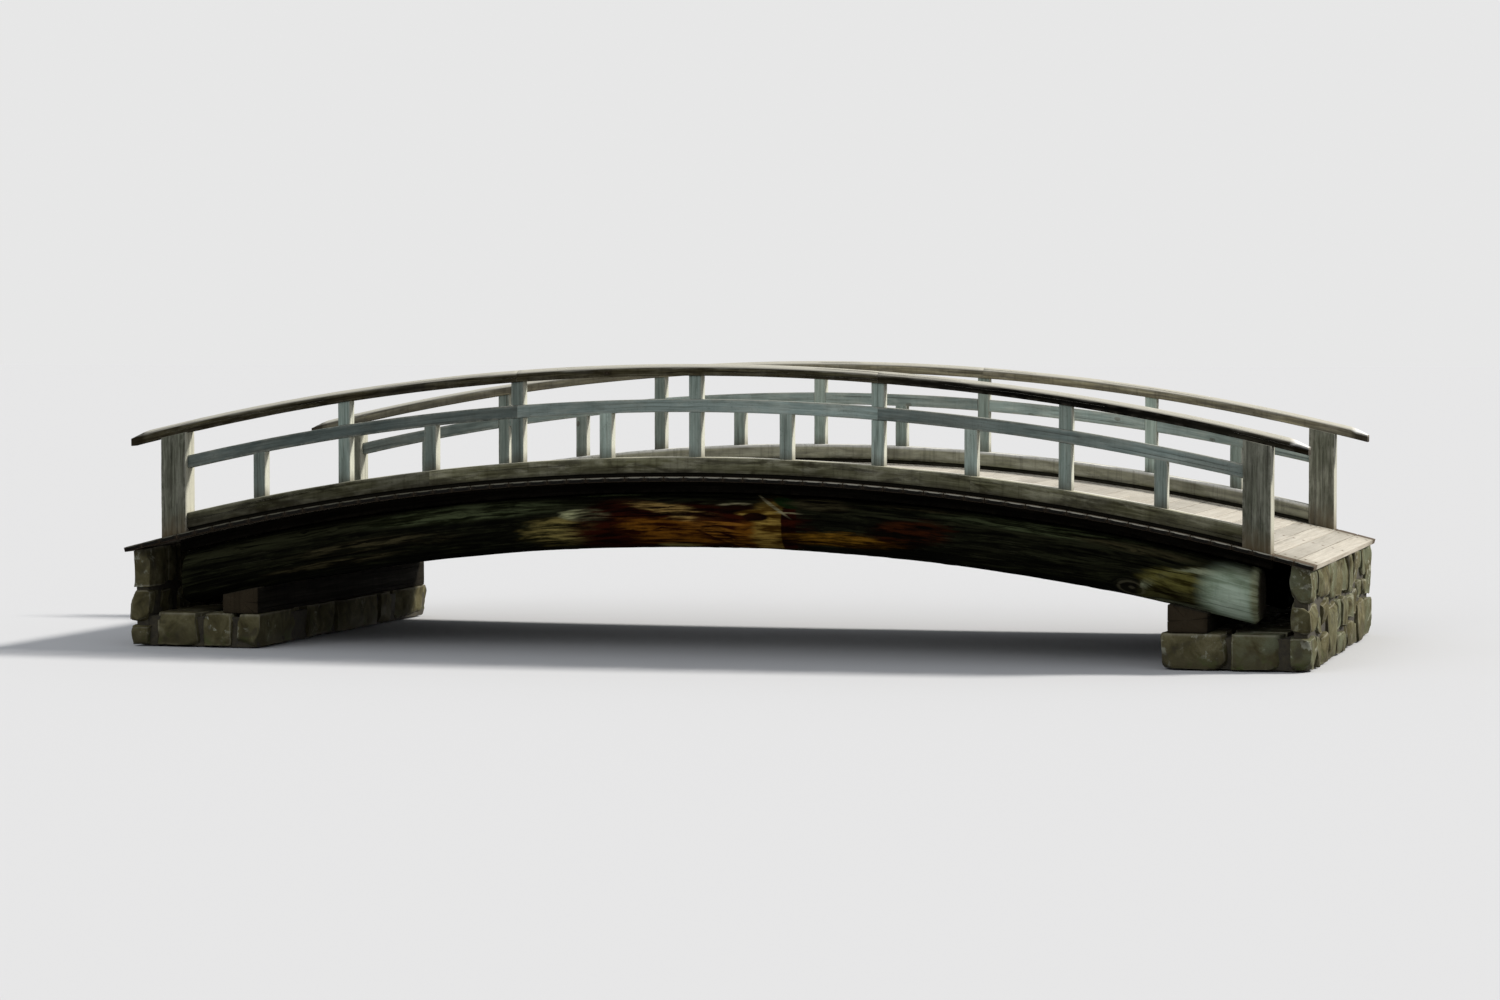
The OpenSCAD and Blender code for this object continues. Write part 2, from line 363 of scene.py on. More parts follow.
def minus(tree, a, b):
    return mathOut(tree, "SUBTRACT", a, b)


def sizeOf(tree, value):
    return mathOut(tree, "ABSOLUTE", value)


def spread(tree, value, low, high, toLow=0.0, toHigh=1.0):
    limits = {"Value": value, "From Min": low, "From Max": high, "To Min": toLow, "To Max": toHigh}
    return addNode(tree, "ShaderNodeMapRange", limits, interpolation_type="SMOOTHSTEP").outputs[0]


def vectorOut(tree, operation, a, b):
    return addNode(tree, "ShaderNodeVectorMath", {0: a, 1: b}, operation=operation).outputs[0]


def scaled(tree, vector, scale):
    return vectorOut(tree, "MULTIPLY", vector, scale)


def axesOf(tree, vector):
    return addNode(tree, "ShaderNodeSeparateXYZ", {0: vector}).outputs


def surfaceOf(tree, output="Position"):
    return addNode(tree, "ShaderNodeNewGeometry").outputs[output]


def noiseOut(tree, vector, detail=3.0, roughness=0.55, distortion=0.0, scale=1.0):
    settings = {"Vector": vector, "Scale": scale, "Detail": detail, "Roughness": roughness, "Distortion": distortion}
    return addNode(tree, "ShaderNodeTexNoise", settings).outputs[0]


def mixColour(tree, factor, a, b):
    return addNode(tree, "ShaderNodeMix", {0: factor, 6: a, 7: b}, data_type="RGBA").outputs[2]


def paintOver(tree, colour, layers):    # layers of mask, strength and paint, from the lowest up
    for mask, strength, paint in layers:
        mask = mask if strength == 1 else times(tree, mask, strength)
        colour = mixColour(tree, mask, colour, paint)
    return colour


def shaded(tree, colour, value):
    return addNode(tree, "ShaderNodeHueSaturation", {"Color": colour, "Value": value}).outputs[0]


def bumpOut(tree, height, strength, distance):
    return addNode(tree, "ShaderNodeBump", {"Height": height, "Strength": strength, "Distance": distance}).outputs[0]


def attributeOut(tree, name, output="Fac"):
    return addNode(tree, "ShaderNodeAttribute", attribute_name=name).outputs[output]


def ramp(tree, value, stops):
    node = addNode(tree, "ShaderNodeValToRGB", {0: value})
    elements = node.color_ramp.elements
    while len(elements) < len(stops):
        elements.new(0.5)
    for element, (position, colour) in zip(elements, stops):
        element.position, element.color = position, (*colour, 1)
    return node.outputs[0]


def newGroup(name, inputs, outputs):    # an input without a value is a vector, the rest are floats
    group = bpy.data.node_groups.new(name, "ShaderNodeTree")
    for label, value in inputs.items():
        kind = "NodeSocketVector" if value is None else "NodeSocketFloat"
        socket = group.interface.new_socket(label, in_out="INPUT", socket_type=kind)
        if value is not None:
            socket.default_value = value
    for label in outputs:
        group.interface.new_socket(label, in_out="OUTPUT", socket_type="NodeSocketFloat")
    return group, group.nodes.new("NodeGroupInput").outputs, group.nodes.new("NodeGroupOutput").inputs


def useGroup(tree, group, inputs):
    return addNode(tree, "ShaderNodeGroup", inputs, node_tree=group).outputs


# streaks, fibres, year rings and knots of wood, in metres along and across the grain
grainRules = {"knotsPerMetre": (3.0, 5.0, 5.0), "driftScale": (0.9, 5, 5), "drift": (0.0, 0.05, 0.05),
              "fibresPerMetre": (7, 230, 230), "knotRings": 15.0}
woodGrain, into, out = newGroup("woodGrain",
    {"Grain": None, "Streak Length": 1.2, "Streak Width": 0.03, "Ring Width": 0.006, "Knot Size": 0.09},
    ("Streak", "Fibre", "Ring", "Knot", "Knot Ring"))
tree = woodGrain
noise = {"Vector": scaled(tree, into["Grain"], grainRules["driftScale"]), "Scale": 1.0, "Detail": 2.0}
drift = addNode(tree, "ShaderNodeTexNoise", noise).outputs["Color"]
bend = vectorOut(tree, "SUBTRACT", drift, (0.5, 0.5, 0.5))
bent = vectorOut(tree, "ADD", into["Grain"], scaled(tree, bend, grainRules["drift"]))
cellPlace = scaled(tree, into["Grain"], grainRules["knotsPerMetre"])
cell = addNode(tree, "ShaderNodeTexVoronoi", {"Vector": cellPlace, "Scale": 1.0}).outputs
# streaks part round a knot
fromKnot = vectorOut(tree, "SUBTRACT", cellPlace, cell["Position"])
farSquared, sizeSquared = (mathOut(tree, "POWER", v, 2.0) for v in (cell["Distance"], into["Knot Size"]))
parting = mathOut(tree, "DIVIDE", sizeSquared, farSquared, clamp=True)
aside = addNode(tree, "ShaderNodeVectorMath", {0: fromKnot, "Scale": parting}, operation="SCALE").outputs[0]
toMetres = (0.0, 1 / grainRules["knotsPerMetre"][1], 1 / grainRules["knotsPerMetre"][2])
flowing = vectorOut(tree, "SUBTRACT", bent, scaled(tree, aside, toMetres))
along, across = (mathOut(tree, "DIVIDE", 1.0, into[key]) for key in ("Streak Length", "Streak Width"))
streakScale = addNode(tree, "ShaderNodeCombineXYZ", {0: along, 1: across, 2: across}).outputs[0]
axes = axesOf(tree, bent)
pithSquared = plus(tree, mathOut(tree, "POWER", axes[1], 2.0), mathOut(tree, "POWER", axes[2], 2.0))
rings = mathOut(tree, "DIVIDE", mathOut(tree, "SQRT", pithSquared), into["Ring Width"])
knotReach = mathOut(tree, "DIVIDE", cell["Distance"], into["Knot Size"])
plug(tree, out, {
    "Streak": noiseOut(tree, scaled(tree, flowing, streakScale), 5.0, 0.62),
    "Fibre": noiseOut(tree, scaled(tree, flowing, grainRules["fibresPerMetre"]), 2.0, 0.6),
    "Ring": spread(tree, mathOut(tree, "SINE", times(tree, rings, 6.2832)), -0.6, 1.0),
    "Knot": spread(tree, knotReach, 1.05, 0.7),
    "Knot Ring": spread(tree, mathOut(tree, "SINE", times(tree, knotReach, grainRules["knotRings"])), -0.5, 0.9),
})

# silvering on faces that look up, made paler still as a painted highlight, bleaching and painted sunlight on the sunny
# side, run-down streaks on upright faces, specks, pale mottles and dark stains
weatherRules = {"patchScale": 1.9, "dripScale": (34, 34, 1.6), "speckScale": 95.0,
                "mottleScale": (4.5, 17, 17), "stainScale": (3.0, 13, 13), "skywardSilverAndLight": 0.85}
weathering, into, out = newGroup("weathering", {"Grain": None, "SilverAndTopLight": 0.5, "Patch": 0.6, "Drip": 0.5},
                                 ("SilverAndTopLight", "Sun", "Drip", "Speck", "Mottle", "Stain"))
tree = weathering
where, facing = surfaceOf(tree), axesOf(tree, surfaceOf(tree, "Normal"))
patch = noiseOut(tree, where, 4.0, 0.6, 0.3, weatherRules["patchScale"])
# faces that look up are silvered and also get a painted highlight
skywardSilverAndLight = times(tree, spread(tree, facing[2], 0.15, 0.75), weatherRules["skywardSilverAndLight"])
patches = times(tree, spread(tree, patch, 0.38, 0.72), into["Patch"])
runs = noiseOut(tree, scaled(tree, where, weatherRules["dripScale"]), 4.0, 0.65)
running = times(tree, spread(tree, runs, 0.48, 0.7), spread(tree, sizeOf(tree, facing[2]), 0.75, 0.2))
specks = noiseOut(tree, where, 2.0, 0.6, 0.0, weatherRules["speckScale"])
mottles = noiseOut(tree, scaled(tree, into["Grain"], weatherRules["mottleScale"]), 5.0, 0.6, 0.3)
stains = noiseOut(tree, scaled(tree, into["Grain"], weatherRules["stainScale"]), 5.0, 0.6, 0.5)
plug(tree, out, {
    "SilverAndTopLight": times(tree, plus(tree, skywardSilverAndLight, patches), into["SilverAndTopLight"], clamp=True),
    # the +x side is bleached and also gets painted sunlight
    "Sun": spread(tree, facing[0], 0.35, 0.9),
    "Drip": times(tree, running, into["Drip"], clamp=True),
    "Speck": times(tree, spread(tree, specks, 0.6, 0.72), spread(tree, patch, 0.4, 0.6)),
    "Mottle": spread(tree, mottles, 0.46, 0.66),
    "Stain": spread(tree, stains, 0.5, 0.64),
})

# worn arrises: the mesh marks the edges, noise breaks them up
arrisWear, into, out = newGroup("arrisWear", {"Amount": 0.6}, ("Mask",))
tree = arrisWear
broken = spread(tree, noiseOut(tree, surfaceOf(tree), 4.0, 0.65, 0.0, 14.0), 0.38, 0.66)
worn = times(tree, attributeOut(tree, "arris"), broken)
plug(tree, out, {"Mask": times(tree, worn, into["Amount"], clamp=True)})

# damp that climbs from the water, with a broken upper edge
dampFoot, into, out = newGroup("dampFoot", {"Low": 0.0, "High": 0.4}, ("Mask",))
tree = dampFoot
where = surfaceOf(tree)
ragged = times(tree, minus(tree, noiseOut(tree, where, 4.0, 0.6, 0.0, 5.0), 0.5), 0.35)
plug(tree, out, {"Mask": spread(tree, plus(tree, axesOf(tree, where)[2], ragged), into["High"], into["Low"])})


def newMaterial(name):
    material = bpy.data.materials.new(name)
    material.use_nodes = True
    tree = material.node_tree
    return material, tree, tree.nodes["Principled BSDF"]


def woodMaterial(name, look):
    material, tree, shader = newMaterial(name)
    grain = attributeOut(tree, "grain", "Vector")
    wood = useGroup(tree, woodGrain, {"Grain": grain, "Streak Length": look["streakLength"],
                                      "Streak Width": look["streakWidth"], "Ring Width": look["ringWidth"],
                                      "Knot Size": look["knotSize"]})
    weather = useGroup(tree, weathering, {"Grain": grain, "SilverAndTopLight": look["silveringAndTopLight"], "Patch": look["patches"],
                                          "Drip": look["dripping"]})
    worn = useGroup(tree, arrisWear, {"Amount": look["wear"]})
    colour = paintOver(tree, ramp(tree, wood["Streak"], look["stops"]), [
        (spread(tree, wood["Fibre"], 0.35, 0.7), look["fibreDark"], look["dark"]),
        (wood["Knot"], 0.85, mixColour(tree, wood["Knot Ring"], look["knotDark"], look["knotPale"])),
        (weather["Mottle"], look["mottle"], look["silver"]),
        (weather["Stain"], look["stained"], look["dark"]),
    ])
    tone = spread(tree, attributeOut(tree, "tone"), 0.0, 1.0, 1 - look["toneRange"], 1 + look["toneRange"])
    colour = paintOver(tree, shaded(tree, colour, tone), [
        (attributeOut(tree, "paled"), 1, look["silver"]),
        # silvering, with a painted highlight on faces that look up
        (weather["SilverAndTopLight"], 1, look["silver"]),
        # sun bleaching, with painted sunlight on the +x side
        (weather["Sun"], look["sunBleachAndLight"], look["silver"]),
        # painted highlight on the sunny cuts of the top rails and along the kerbs' inside top edge
        (attributeOut(tree, "bare"), 1, look["fresh"]),
        (attributeOut(tree, "endGrain"), 0.9, mixColour(tree, wood["Ring"], look["endPale"], look["endDark"])),
        (weather["Drip"], 0.75, look["dark"]),
        (weather["Speck"], look["specks"], look["speck"]),
        (worn["Mask"], 1, look["worn"]),
        # painted shade at the rail tips, crown margins and kerb foot, and darker feet on the posts
        (attributeOut(tree, "grime"), 0.8, look["grime"]),
        # painted shade: the checks and the kerbs' rebates are near black
        (attributeOut(tree, "crack"), 1, look["crack"]),
    ])
    relief = plus(tree, times(tree, wood["Streak"], 0.9), times(tree, wood["Fibre"], 0.6))
    relief = plus(tree, relief, times(tree, wood["Ring"], look["ringRelief"]))
    relief = plus(tree, relief, times(tree, wood["Knot"], 0.5))
    plug(tree, shader.inputs, {
        "Base Color": colour, "Specular IOR Level": look["gloss"],
        "Roughness": spread(tree, wood["Streak"], 0.3, 0.7, look["rough"] + 0.08, look["rough"] - 0.08),
        "Normal": bumpOut(tree, relief, look["relief"], 0.004),
    })
    return material


# posts

postLook = {
    "stops": [(0.3, (0.16, 0.196, 0.168)), (0.46, (0.29, 0.36, 0.314)), (0.58, (0.362, 0.444, 0.393)),
              (0.74, (0.45, 0.532, 0.47))],
    "dark": (0.075, 0.082, 0.062), "silver": (0.62, 0.615, 0.52), "worn": (0.44, 0.43, 0.36),
    "endPale": (0.23, 0.205, 0.165), "endDark": (0.1, 0.085, 0.066), "crack": (0.01, 0.009, 0.006),
    "knotPale": (0.13, 0.115, 0.088), "knotDark": (0.06, 0.05, 0.038), "knotSize": 0.085,
    "grime": (0.06, 0.045, 0.026), "speck": (0.055, 0.055, 0.045), "specks": 0.45, "fresh": (0.9, 0.885, 0.84),
    "streakLength": 0.75, "streakWidth": 0.02, "ringWidth": 0.005, "fibreDark": 0.24,
    "silveringAndTopLight": 0.35, "patches": 0.25, "sunBleachAndLight": 0.85, "dripping": 0.28, "mottle": 0.1, "stained": 0.16,
    "wear": 0.5, "toneRange": 0.5, "rough": 0.8, "relief": 0.6, "ringRelief": 0.2, "gloss": 0.12,
}
endPostLook = dict(postLook,
    stops=[(0.3, (0.04, 0.04, 0.026)), (0.46, (0.104, 0.108, 0.078)), (0.58, (0.156, 0.162, 0.12)),
           (0.74, (0.25, 0.256, 0.196))],
    dark=(0.036, 0.034, 0.022), silver=(0.59, 0.58, 0.48), grime=(0.105, 0.066, 0.028), toneRange=0.16,
    streakLength=0.6, streakWidth=0.016, fibreDark=0.45, dripping=0.5, patches=0.35, sunBleachAndLight=0.8,
    mottle=0.16, stained=0.4, wear=0.55)
postWood = woodMaterial("weatheredPostWood", postLook)
endPostWood = woodMaterial("weatheredEndPostWood", endPostLook)
post = {"width": 0.1, "depth": 0.1, "arris": 0.006, "checks": (2, 4), "grimeReach": 0.13}
endPost = {"width": 0.21, "depth": 0.18, "arris": 0.009, "checks": (9, 10), "grimeReach": 0.26}
postShape = {"pitch": 0.045, "step": 0.016, "ease": 0.004, "wave": 0.0016, "waveLength": 0.25, "fibre": 0.0006,
             "wear": 0.004,
             "checks": {"length": (0.15, 0.6), "width": (0.0015, 0.0035), "depth": (0.006, 0.016), "wander": 0.003}}
sides = {"front": -1, "back": 1}
fitGap = 0.0003
bedding = 0.004    # how far a foot or head runs on into its neighbour, so that no light shows in the joint


def uprightPlace(centreX, centreY, out, levels):
    # levels are heights as functions of x, from foot to head
    def place(s, a, b):
        x = centreX + a
        z = np.array(s, float)
        for low, high in zip(levels[:-1], levels[1:]):
            s0, s1 = low(centreX), high(centreX)
            t = (s - s0) / (s1 - s0)
            inside = (s >= s0 - 1e-6) & (s <= s1 + 1e-6)
            z = np.where(inside, low(x) * (1 - t) + high(x) * t, z)
        return np.stack([x, centreY + out * b, z], axis=-1)
    return place


def onArch(radius):    # the height of a level that follows the arch
    return lambda x: arcZ(radius, x)


def square(radius, x):    # the height of a level cut straight across a post at x
    return lambda v: tangentZ(radius, x, v)


def halving(y, out):    # cuts a post or rail back to the plane at y; out tells which half goes
    def cut(points):
        kept = points.copy()
        kept[..., 1] = np.maximum(kept[..., 1], y + fitGap) if out < 0 else np.minimum(kept[..., 1], y - fitGap)
        return kept
    return cut


def rectangle(left, right, low, high):
    return [(left, low), (right, low), (right, high), (left, high)]


def buildPost(side, name, x, sizes, levels, seed, tone, finish):
    out = sides[side]
    y = out * plan["railY"]
    width, depth = sizes["width"] / 2, sizes["depth"] / 2
    outline = easedOutline(rectangle(-width, width, -depth, depth), sizes["arris"], postShape["step"])
    foot, head = levels[0](x), levels[-1](x)
    rng = np.random.default_rng(seed)
    checkCount = int(rng.integers(*sizes["checks"]))
    notched = len(levels) > 2
    notches = [(levels[1](x), levels[2](x), halving(y, out))] if notched else []
    place = uprightPlace(x, y, out, levels)
    part = timber(foot, head, outline, place, postShape, rng, checkCount, seed, notches)
    values = part["values"]
    s, px, py = values["lay"][:, 0], part["points"][:, 0], part["points"][:, 1]
    # the foot is darker, with a ragged upper edge
    ragged = layeredNoise(px / 0.03, py / 0.03, s / 0.05, 3)
    values["grime"] = np.clip(1 - (s - foot) / sizes["grimeReach"] - 0.5 * ragged, 0, 1)
    values["tone"][:] = tone
    pieceName = side + "".join(word.capitalize() for word in name.split("_"))
    makePiece(pieceName, [part], [finish], [f"{side}_{name}"], tidy=notched)


# how pale the posts are, from left to right
postTones = {
    "front": {"tall": (0.5, 0.12, 0.4, 0.55, 0.4), "short": (0.1, 0.06, 0.7, 0.42, 0.6, 0.27), "end": (0.5, 0.4)},
    "back": {"tall": (0.05, 0.1, 0.5, 0.33, 0.62), "short": (0.0, 0.06, 0.3, 0.33, 0.37, 0.27), "end": (0.3, 0.6)},
}
postSeeds = {"front": 100, "back": 300}
tallPostsX = [2 * k * plan["bay"] - plan["halfSpan"] for k in range(1, 6)]

print("posts")
for side, tones in postTones.items():
    seed = postSeeds[side]
    kerbTop, underRail = arch["kerbTop"] - bedding, onArch(arch["railUnder"] + bedding)
    for k, (x, tone) in enumerate(zip(tallPostsX, tones["tall"]), 1):
        levels = [square(kerbTop, x), onArch(arch["midUnder"] - fitGap), square(arch["midTop"] + fitGap, x), underRail]
        buildPost(side, f"tall_post_{k}", x, post, levels, seed + k, tone, postWood)
    for k, tone in enumerate(tones["short"], 1):
        x = (2 * k - 1) * plan["bay"] - plan["halfSpan"]
        levels = [square(kerbTop, x), onArch(arch["midUnder"] + bedding)]
        buildPost(side, f"short_post_{k}", x, post, levels, seed + 20 + k, tone, postWood)
    for k, (end, tone) in enumerate(zip(("left", "right"), tones["end"])):
        x = (2 * k - 1) * plan["halfSpan"]
        levels = [square(arch["deck"] - bedding, x), underRail]
        buildPost(side, f"{end}_end_post", x, endPost, levels, seed + 40 + k, tone, endPostWood)


# rails and kerbs

def archPlace(centreY, out=1):
    def place(s, a, b):
        return np.stack([s + 0 * a, centreY + out * a, arcZ(b, s)], axis=-1)
    return place


# patchy: how far a timber's tone strays, and how much more the pale ones stray
midRail = {"halfLength": 4.095, "half": 0.05, "joints": (-1.4, 1.4), "arris": 0.006, "checkCount": 3,
           "patchy": (0.3, 0.0)}
midShape = {"pitch": 0.045, "step": 0.016, "ease": 0.0025, "wave": 0.0018, "waveLength": 0.5, "fibre": 0.0006,
            "wear": 0.004,
            "checks": {"length": (0.3, 1.1), "width": (0.0015, 0.003), "depth": (0.006, 0.014), "wander": 0.003}}
topRail = {"halfLength": 4.565, "half": 0.065, "edge": 19.011, "crown": 0.018, "joints": (-1.4, 1.4), "arris": 0.007,
           "splayLength": 0.13, "splayDrop": 0.036, "paled": {"front": 0.0, "back": 0.1}, "checkCount": 5,
           "patchy": (0.05, 0.9)}
topShape = {"pitch": 0.045, "step": 0.018, "ease": 0.003, "wave": 0.0025, "waveLength": 0.6, "fibre": 0.0008,
            "wear": 0.005,
            "checks": {"length": (0.3, 1.4), "width": (0.002, 0.004), "depth": (0.008, 0.018), "wander": 0.004}}
kerb = {"halfLength": 4.095, "half": 0.07, "core": 0.045, "rebateTop": 18.222, "joints": (-2.1, 2.1), "arris": 0.008,
        "outsideDarkReach": 0.085, "footShadeReach": 0.016, "litEdgeHeight": 0.01, "checkCount": 4, "patchy": (0.45, 0.0)}
kerbShape = {"pitch": 0.045, "step": 0.02, "ease": 0.0025, "wave": 0.0028, "waveLength": 0.6, "fibre": 0.0009,
             "wear": 0.006,
             "checks": {"length": (0.3, 1.4), "width": (0.002, 0.004), "depth": (0.008, 0.02), "wander": 0.004}}

railLook = dict(postLook,
    stops=[(0.3, (0.014, 0.011, 0.005)), (0.46, (0.056, 0.047, 0.024)), (0.6, (0.126, 0.112, 0.064)),
           (0.76, (0.235, 0.214, 0.14))],
    dark=(0.01, 0.007, 0.003), silver=(0.68, 0.655, 0.56), grime=(0.01, 0.007, 0.003), worn=(0.3, 0.27, 0.21),
    speck=(0.016, 0.013, 0.009), knotPale=(0.06, 0.045, 0.03), knotDark=(0.02, 0.014, 0.009),
    silveringAndTopLight=0.95, patches=0.01, sunBleachAndLight=0.6,
    dripping=0.35, streakLength=1.3, streakWidth=0.02, mottle=0.05, stained=0.45, wear=0.22, toneRange=1.0, gloss=0.02)
midLook = dict(postLook,
    stops=[(0.3, (0.135, 0.168, 0.15)), (0.46, (0.24, 0.3, 0.276)), (0.58, (0.298, 0.37, 0.345)),
           (0.74, (0.375, 0.446, 0.405))],
    knotPale=(0.2, 0.225, 0.195), knotDark=(0.11, 0.12, 0.1), streakLength=1.5, streakWidth=0.018,
    silveringAndTopLight=0.6, patches=0.2, dripping=0.16, stained=0.26, wear=0.6, toneRange=0.6, mottle=0.16)
kerbLook = dict(postLook,
    stops=[(0.3, (0.034, 0.03, 0.013)), (0.46, (0.09, 0.086, 0.045)), (0.6, (0.154, 0.15, 0.086)),
           (0.76, (0.25, 0.245, 0.155))],
    dark=(0.016, 0.013, 0.005), silver=(0.54, 0.52, 0.4), worn=(0.32, 0.305, 0.235), speck=(0.024, 0.022, 0.014),
    knotPale=(0.085, 0.07, 0.048), knotDark=(0.03, 0.024, 0.016), streakLength=1.0, streakWidth=0.024, fibreDark=0.34,
    grime=(0.016, 0.013, 0.007), silveringAndTopLight=0.8, patches=0.16, sunBleachAndLight=0.6, dripping=0.4, mottle=0.24,
    stained=0.75, wear=0.45, toneRange=0.45, gloss=0.05)
railWood = woodMaterial("brownRailWood", railLook)
midWood = woodMaterial("weatheredMidRailWood", midLook)
kerbWood = woodMaterial("weatheredKerbWood", kerbLook)

railSeeds = {"front": 500, "back": 700}
# how pale each length of timber is, from its left to its right end
timberShades = {
    "front": {"rail": ((0.34, 0.4), (0.42, 0.5, 0.36), (0.26, 0.05, 0.01, 0.08, 0.2)),
              "mid": ((0.03, 0.05), (0.38, 0.66), (0.2, 0.2, 0.26, 0.46, 0.34)),
              "kerb": ((0.15, 0.25), (0.85, 0.5), (0.55, 0.5))},
    "back": {"rail": ((0.5, 0.62), (0.8, 0.95), (0.9, 0.7)),
             "mid": ((0.01, 0.6), (0.62, 0.38), (0.64, 0.4)),
             "kerb": ((0.05, 0.5), (0.6, 0.85), (0.85, 0.45))},
}


def shadeAlong(part, start, end, shades, seed, patchy):
    s, across, up = part["values"]["lay"].T
    broad, small = layeredNoise(s / 0.45, 0.5, seed, 77), layeredNoise(s / 0.1, up / 0.03, across / 0.03, seed)
    tone = np.interp(s, np.linspace(start, end, len(shades)), shades)
    strays = patchy[0] + patchy[1] * shades[-1]
    part["values"]["tone"] = np.clip(tone + strays * (broad - 0.5 + 0.6 * (small - 0.5)), 0.005, 1)


def buildLengths(sizes, shape, corners, place, shades, rng, seed, shift, finish=None, cuts=()):
    # a rail or kerb of several timbers end to end; cuts are notches that belong to the whole length
    outline = easedOutline(corners, sizes["arris"], shape["step"])
    marks = [-sizes["halfLength"], *sizes["joints"], sizes["halfLength"]]
    made = []
    for n, (start, end) in enumerate(zip(marks[:-1], marks[1:])):
        notches = [(max(low, start), min(high, end), cut) for low, high, cut in cuts if high > start and low < end]
        part = timber(start, end, outline, place, shape, rng, sizes["checkCount"], seed + shift + n, notches)
        if finish:
            finish(part, outline["middle"][1], seed)
        shadeAlong(part, start, end, shades[n], seed + n, sizes["patchy"])
        made.append(part)
    return made


def splay(part, middle, seed):    # cuts the top rail's ends off at a slant and paints light and shade on what that bares
    p, values = part["points"], part["values"]
    back = topRail["halfLength"] - topRail["splayLength"]
    backZ, tipZ = arcZ(arch["railTop"], back), arcZ(arch["railTop"], topRail["halfLength"]) - topRail["splayDrop"]
    slope = backZ + (tipZ - backZ) * (np.abs(p[:, 0]) - back) / topRail["splayLength"]
    above = values["lay"][:, 2] + middle - topRail["edge"]
    tip = np.abs(p[:, 0]) > back
    sunnyCut = tip & ((above > -0.02) | (p[:, 2] > slope - 0.001)) & (p[:, 0] > 0)
    # painted highlight on the cuts of the sunny right-hand ends
    values["bare"] = sunnyCut.astype(float)
    # painted shade: the tips' faces, the shaded cuts and the lower margin of the crown are dark
    margin = np.clip(0.85 - above / 0.014, 0, 0.85) * (above > -0.003)
    values["grime"] = np.where(sunnyCut, 0.0, np.where(tip, 0.9, margin))
    p[:, 2] = np.where(tip, np.minimum(p[:, 2], slope), p[:, 2])


def paintKerb(part, middle, seed):
    values = part["values"]
    s, across, up = values["lay"].T
    above = up + middle - kerb["rebateTop"]
    ragged = layeredNoise(s / 0.16, above / 0.045, 0.5, seed) - 0.5
    outside = across > 0
    # the outside darkens towards its foot, the inside is trodden pale but for its foot, which gets painted shade, a
    # painted highlight runs along the inside top edge, and the rebates are painted black as shade
    darkerDown = np.clip(0.85 - above / kerb["outsideDarkReach"] + 1.5 * ragged, 0, 0.9)
    values["grime"] = np.where(outside, darkerDown, np.clip(0.6 - above / kerb["footShadeReach"] + ragged, 0, 0.8))
    values["paled"] = np.where(outside, 0.0, np.clip(0.34 + 0.7 * ragged, 0, 0.7)) * (above > 0.01)
    # painted highlight along the inside top edge
    values["bare"] = np.where(outside, 0.0, 0.8 * (up + middle > arch["kerbTop"] - kerb["litEdgeHeight"]))
    # painted shade: the rebates are black
    values["crack"] = np.maximum(values["crack"], (above < 0.0015) * np.where(outside, 1.0, 0.7))


print("rails and kerbs")
for side, out in sides.items():
    y, seed, shades = out * plan["railY"], railSeeds[side], timberShades[side]
    rng = np.random.default_rng(seed)
    place = archPlace(y, out)

    half, reach = midRail["half"], post["width"] / 2 + fitGap
    corners = rectangle(-half, half, arch["midUnder"], arch["midTop"])
    cuts = [(x - reach, x + reach, halving(y, -out)) for x in tallPostsX]
    made = buildLengths(midRail, midShape, corners, place, shades["mid"], rng, seed, 0, cuts=cuts)
    makePiece(f"{side}MidRailTimber", made, [midWood], [f"{side}_mid_rail"], tidy=True)

    half, crown, edge = topRail["half"], topRail["crown"], topRail["edge"]
    under, top = arch["railUnder"], arch["railTop"]
    corners = [(-half, under), (half, under), (half, edge), (crown, top), (-crown, top), (-half, edge)]
    made = buildLengths(topRail, topShape, corners, place, shades["rail"], rng, seed, 20, splay)
    for part in made:
        part["values"]["paled"] = np.full(len(part["points"]), topRail["paled"][side])
    makePiece(f"{side}TopRailTimber", made, [railWood], [f"{side}_top_rail"])

    wide, core, rebate = kerb["half"], kerb["core"], kerb["rebateTop"]
    foot, top = arch["deck"] - bedding, arch["kerbTop"]
    corners = [(-core, foot), (core, foot), (core, rebate), (wide, rebate), (wide, top), (-wide, top),
               (-wide, rebate), (-core, rebate)]
    made = buildLengths(kerb, kerbShape, corners, place, shades["kerb"], rng, seed, 40, paintKerb)
    makePiece(f"{side}KerbTimber", made, [kerbWood], [f"{side}_kerb"])


# deck boards and their nails

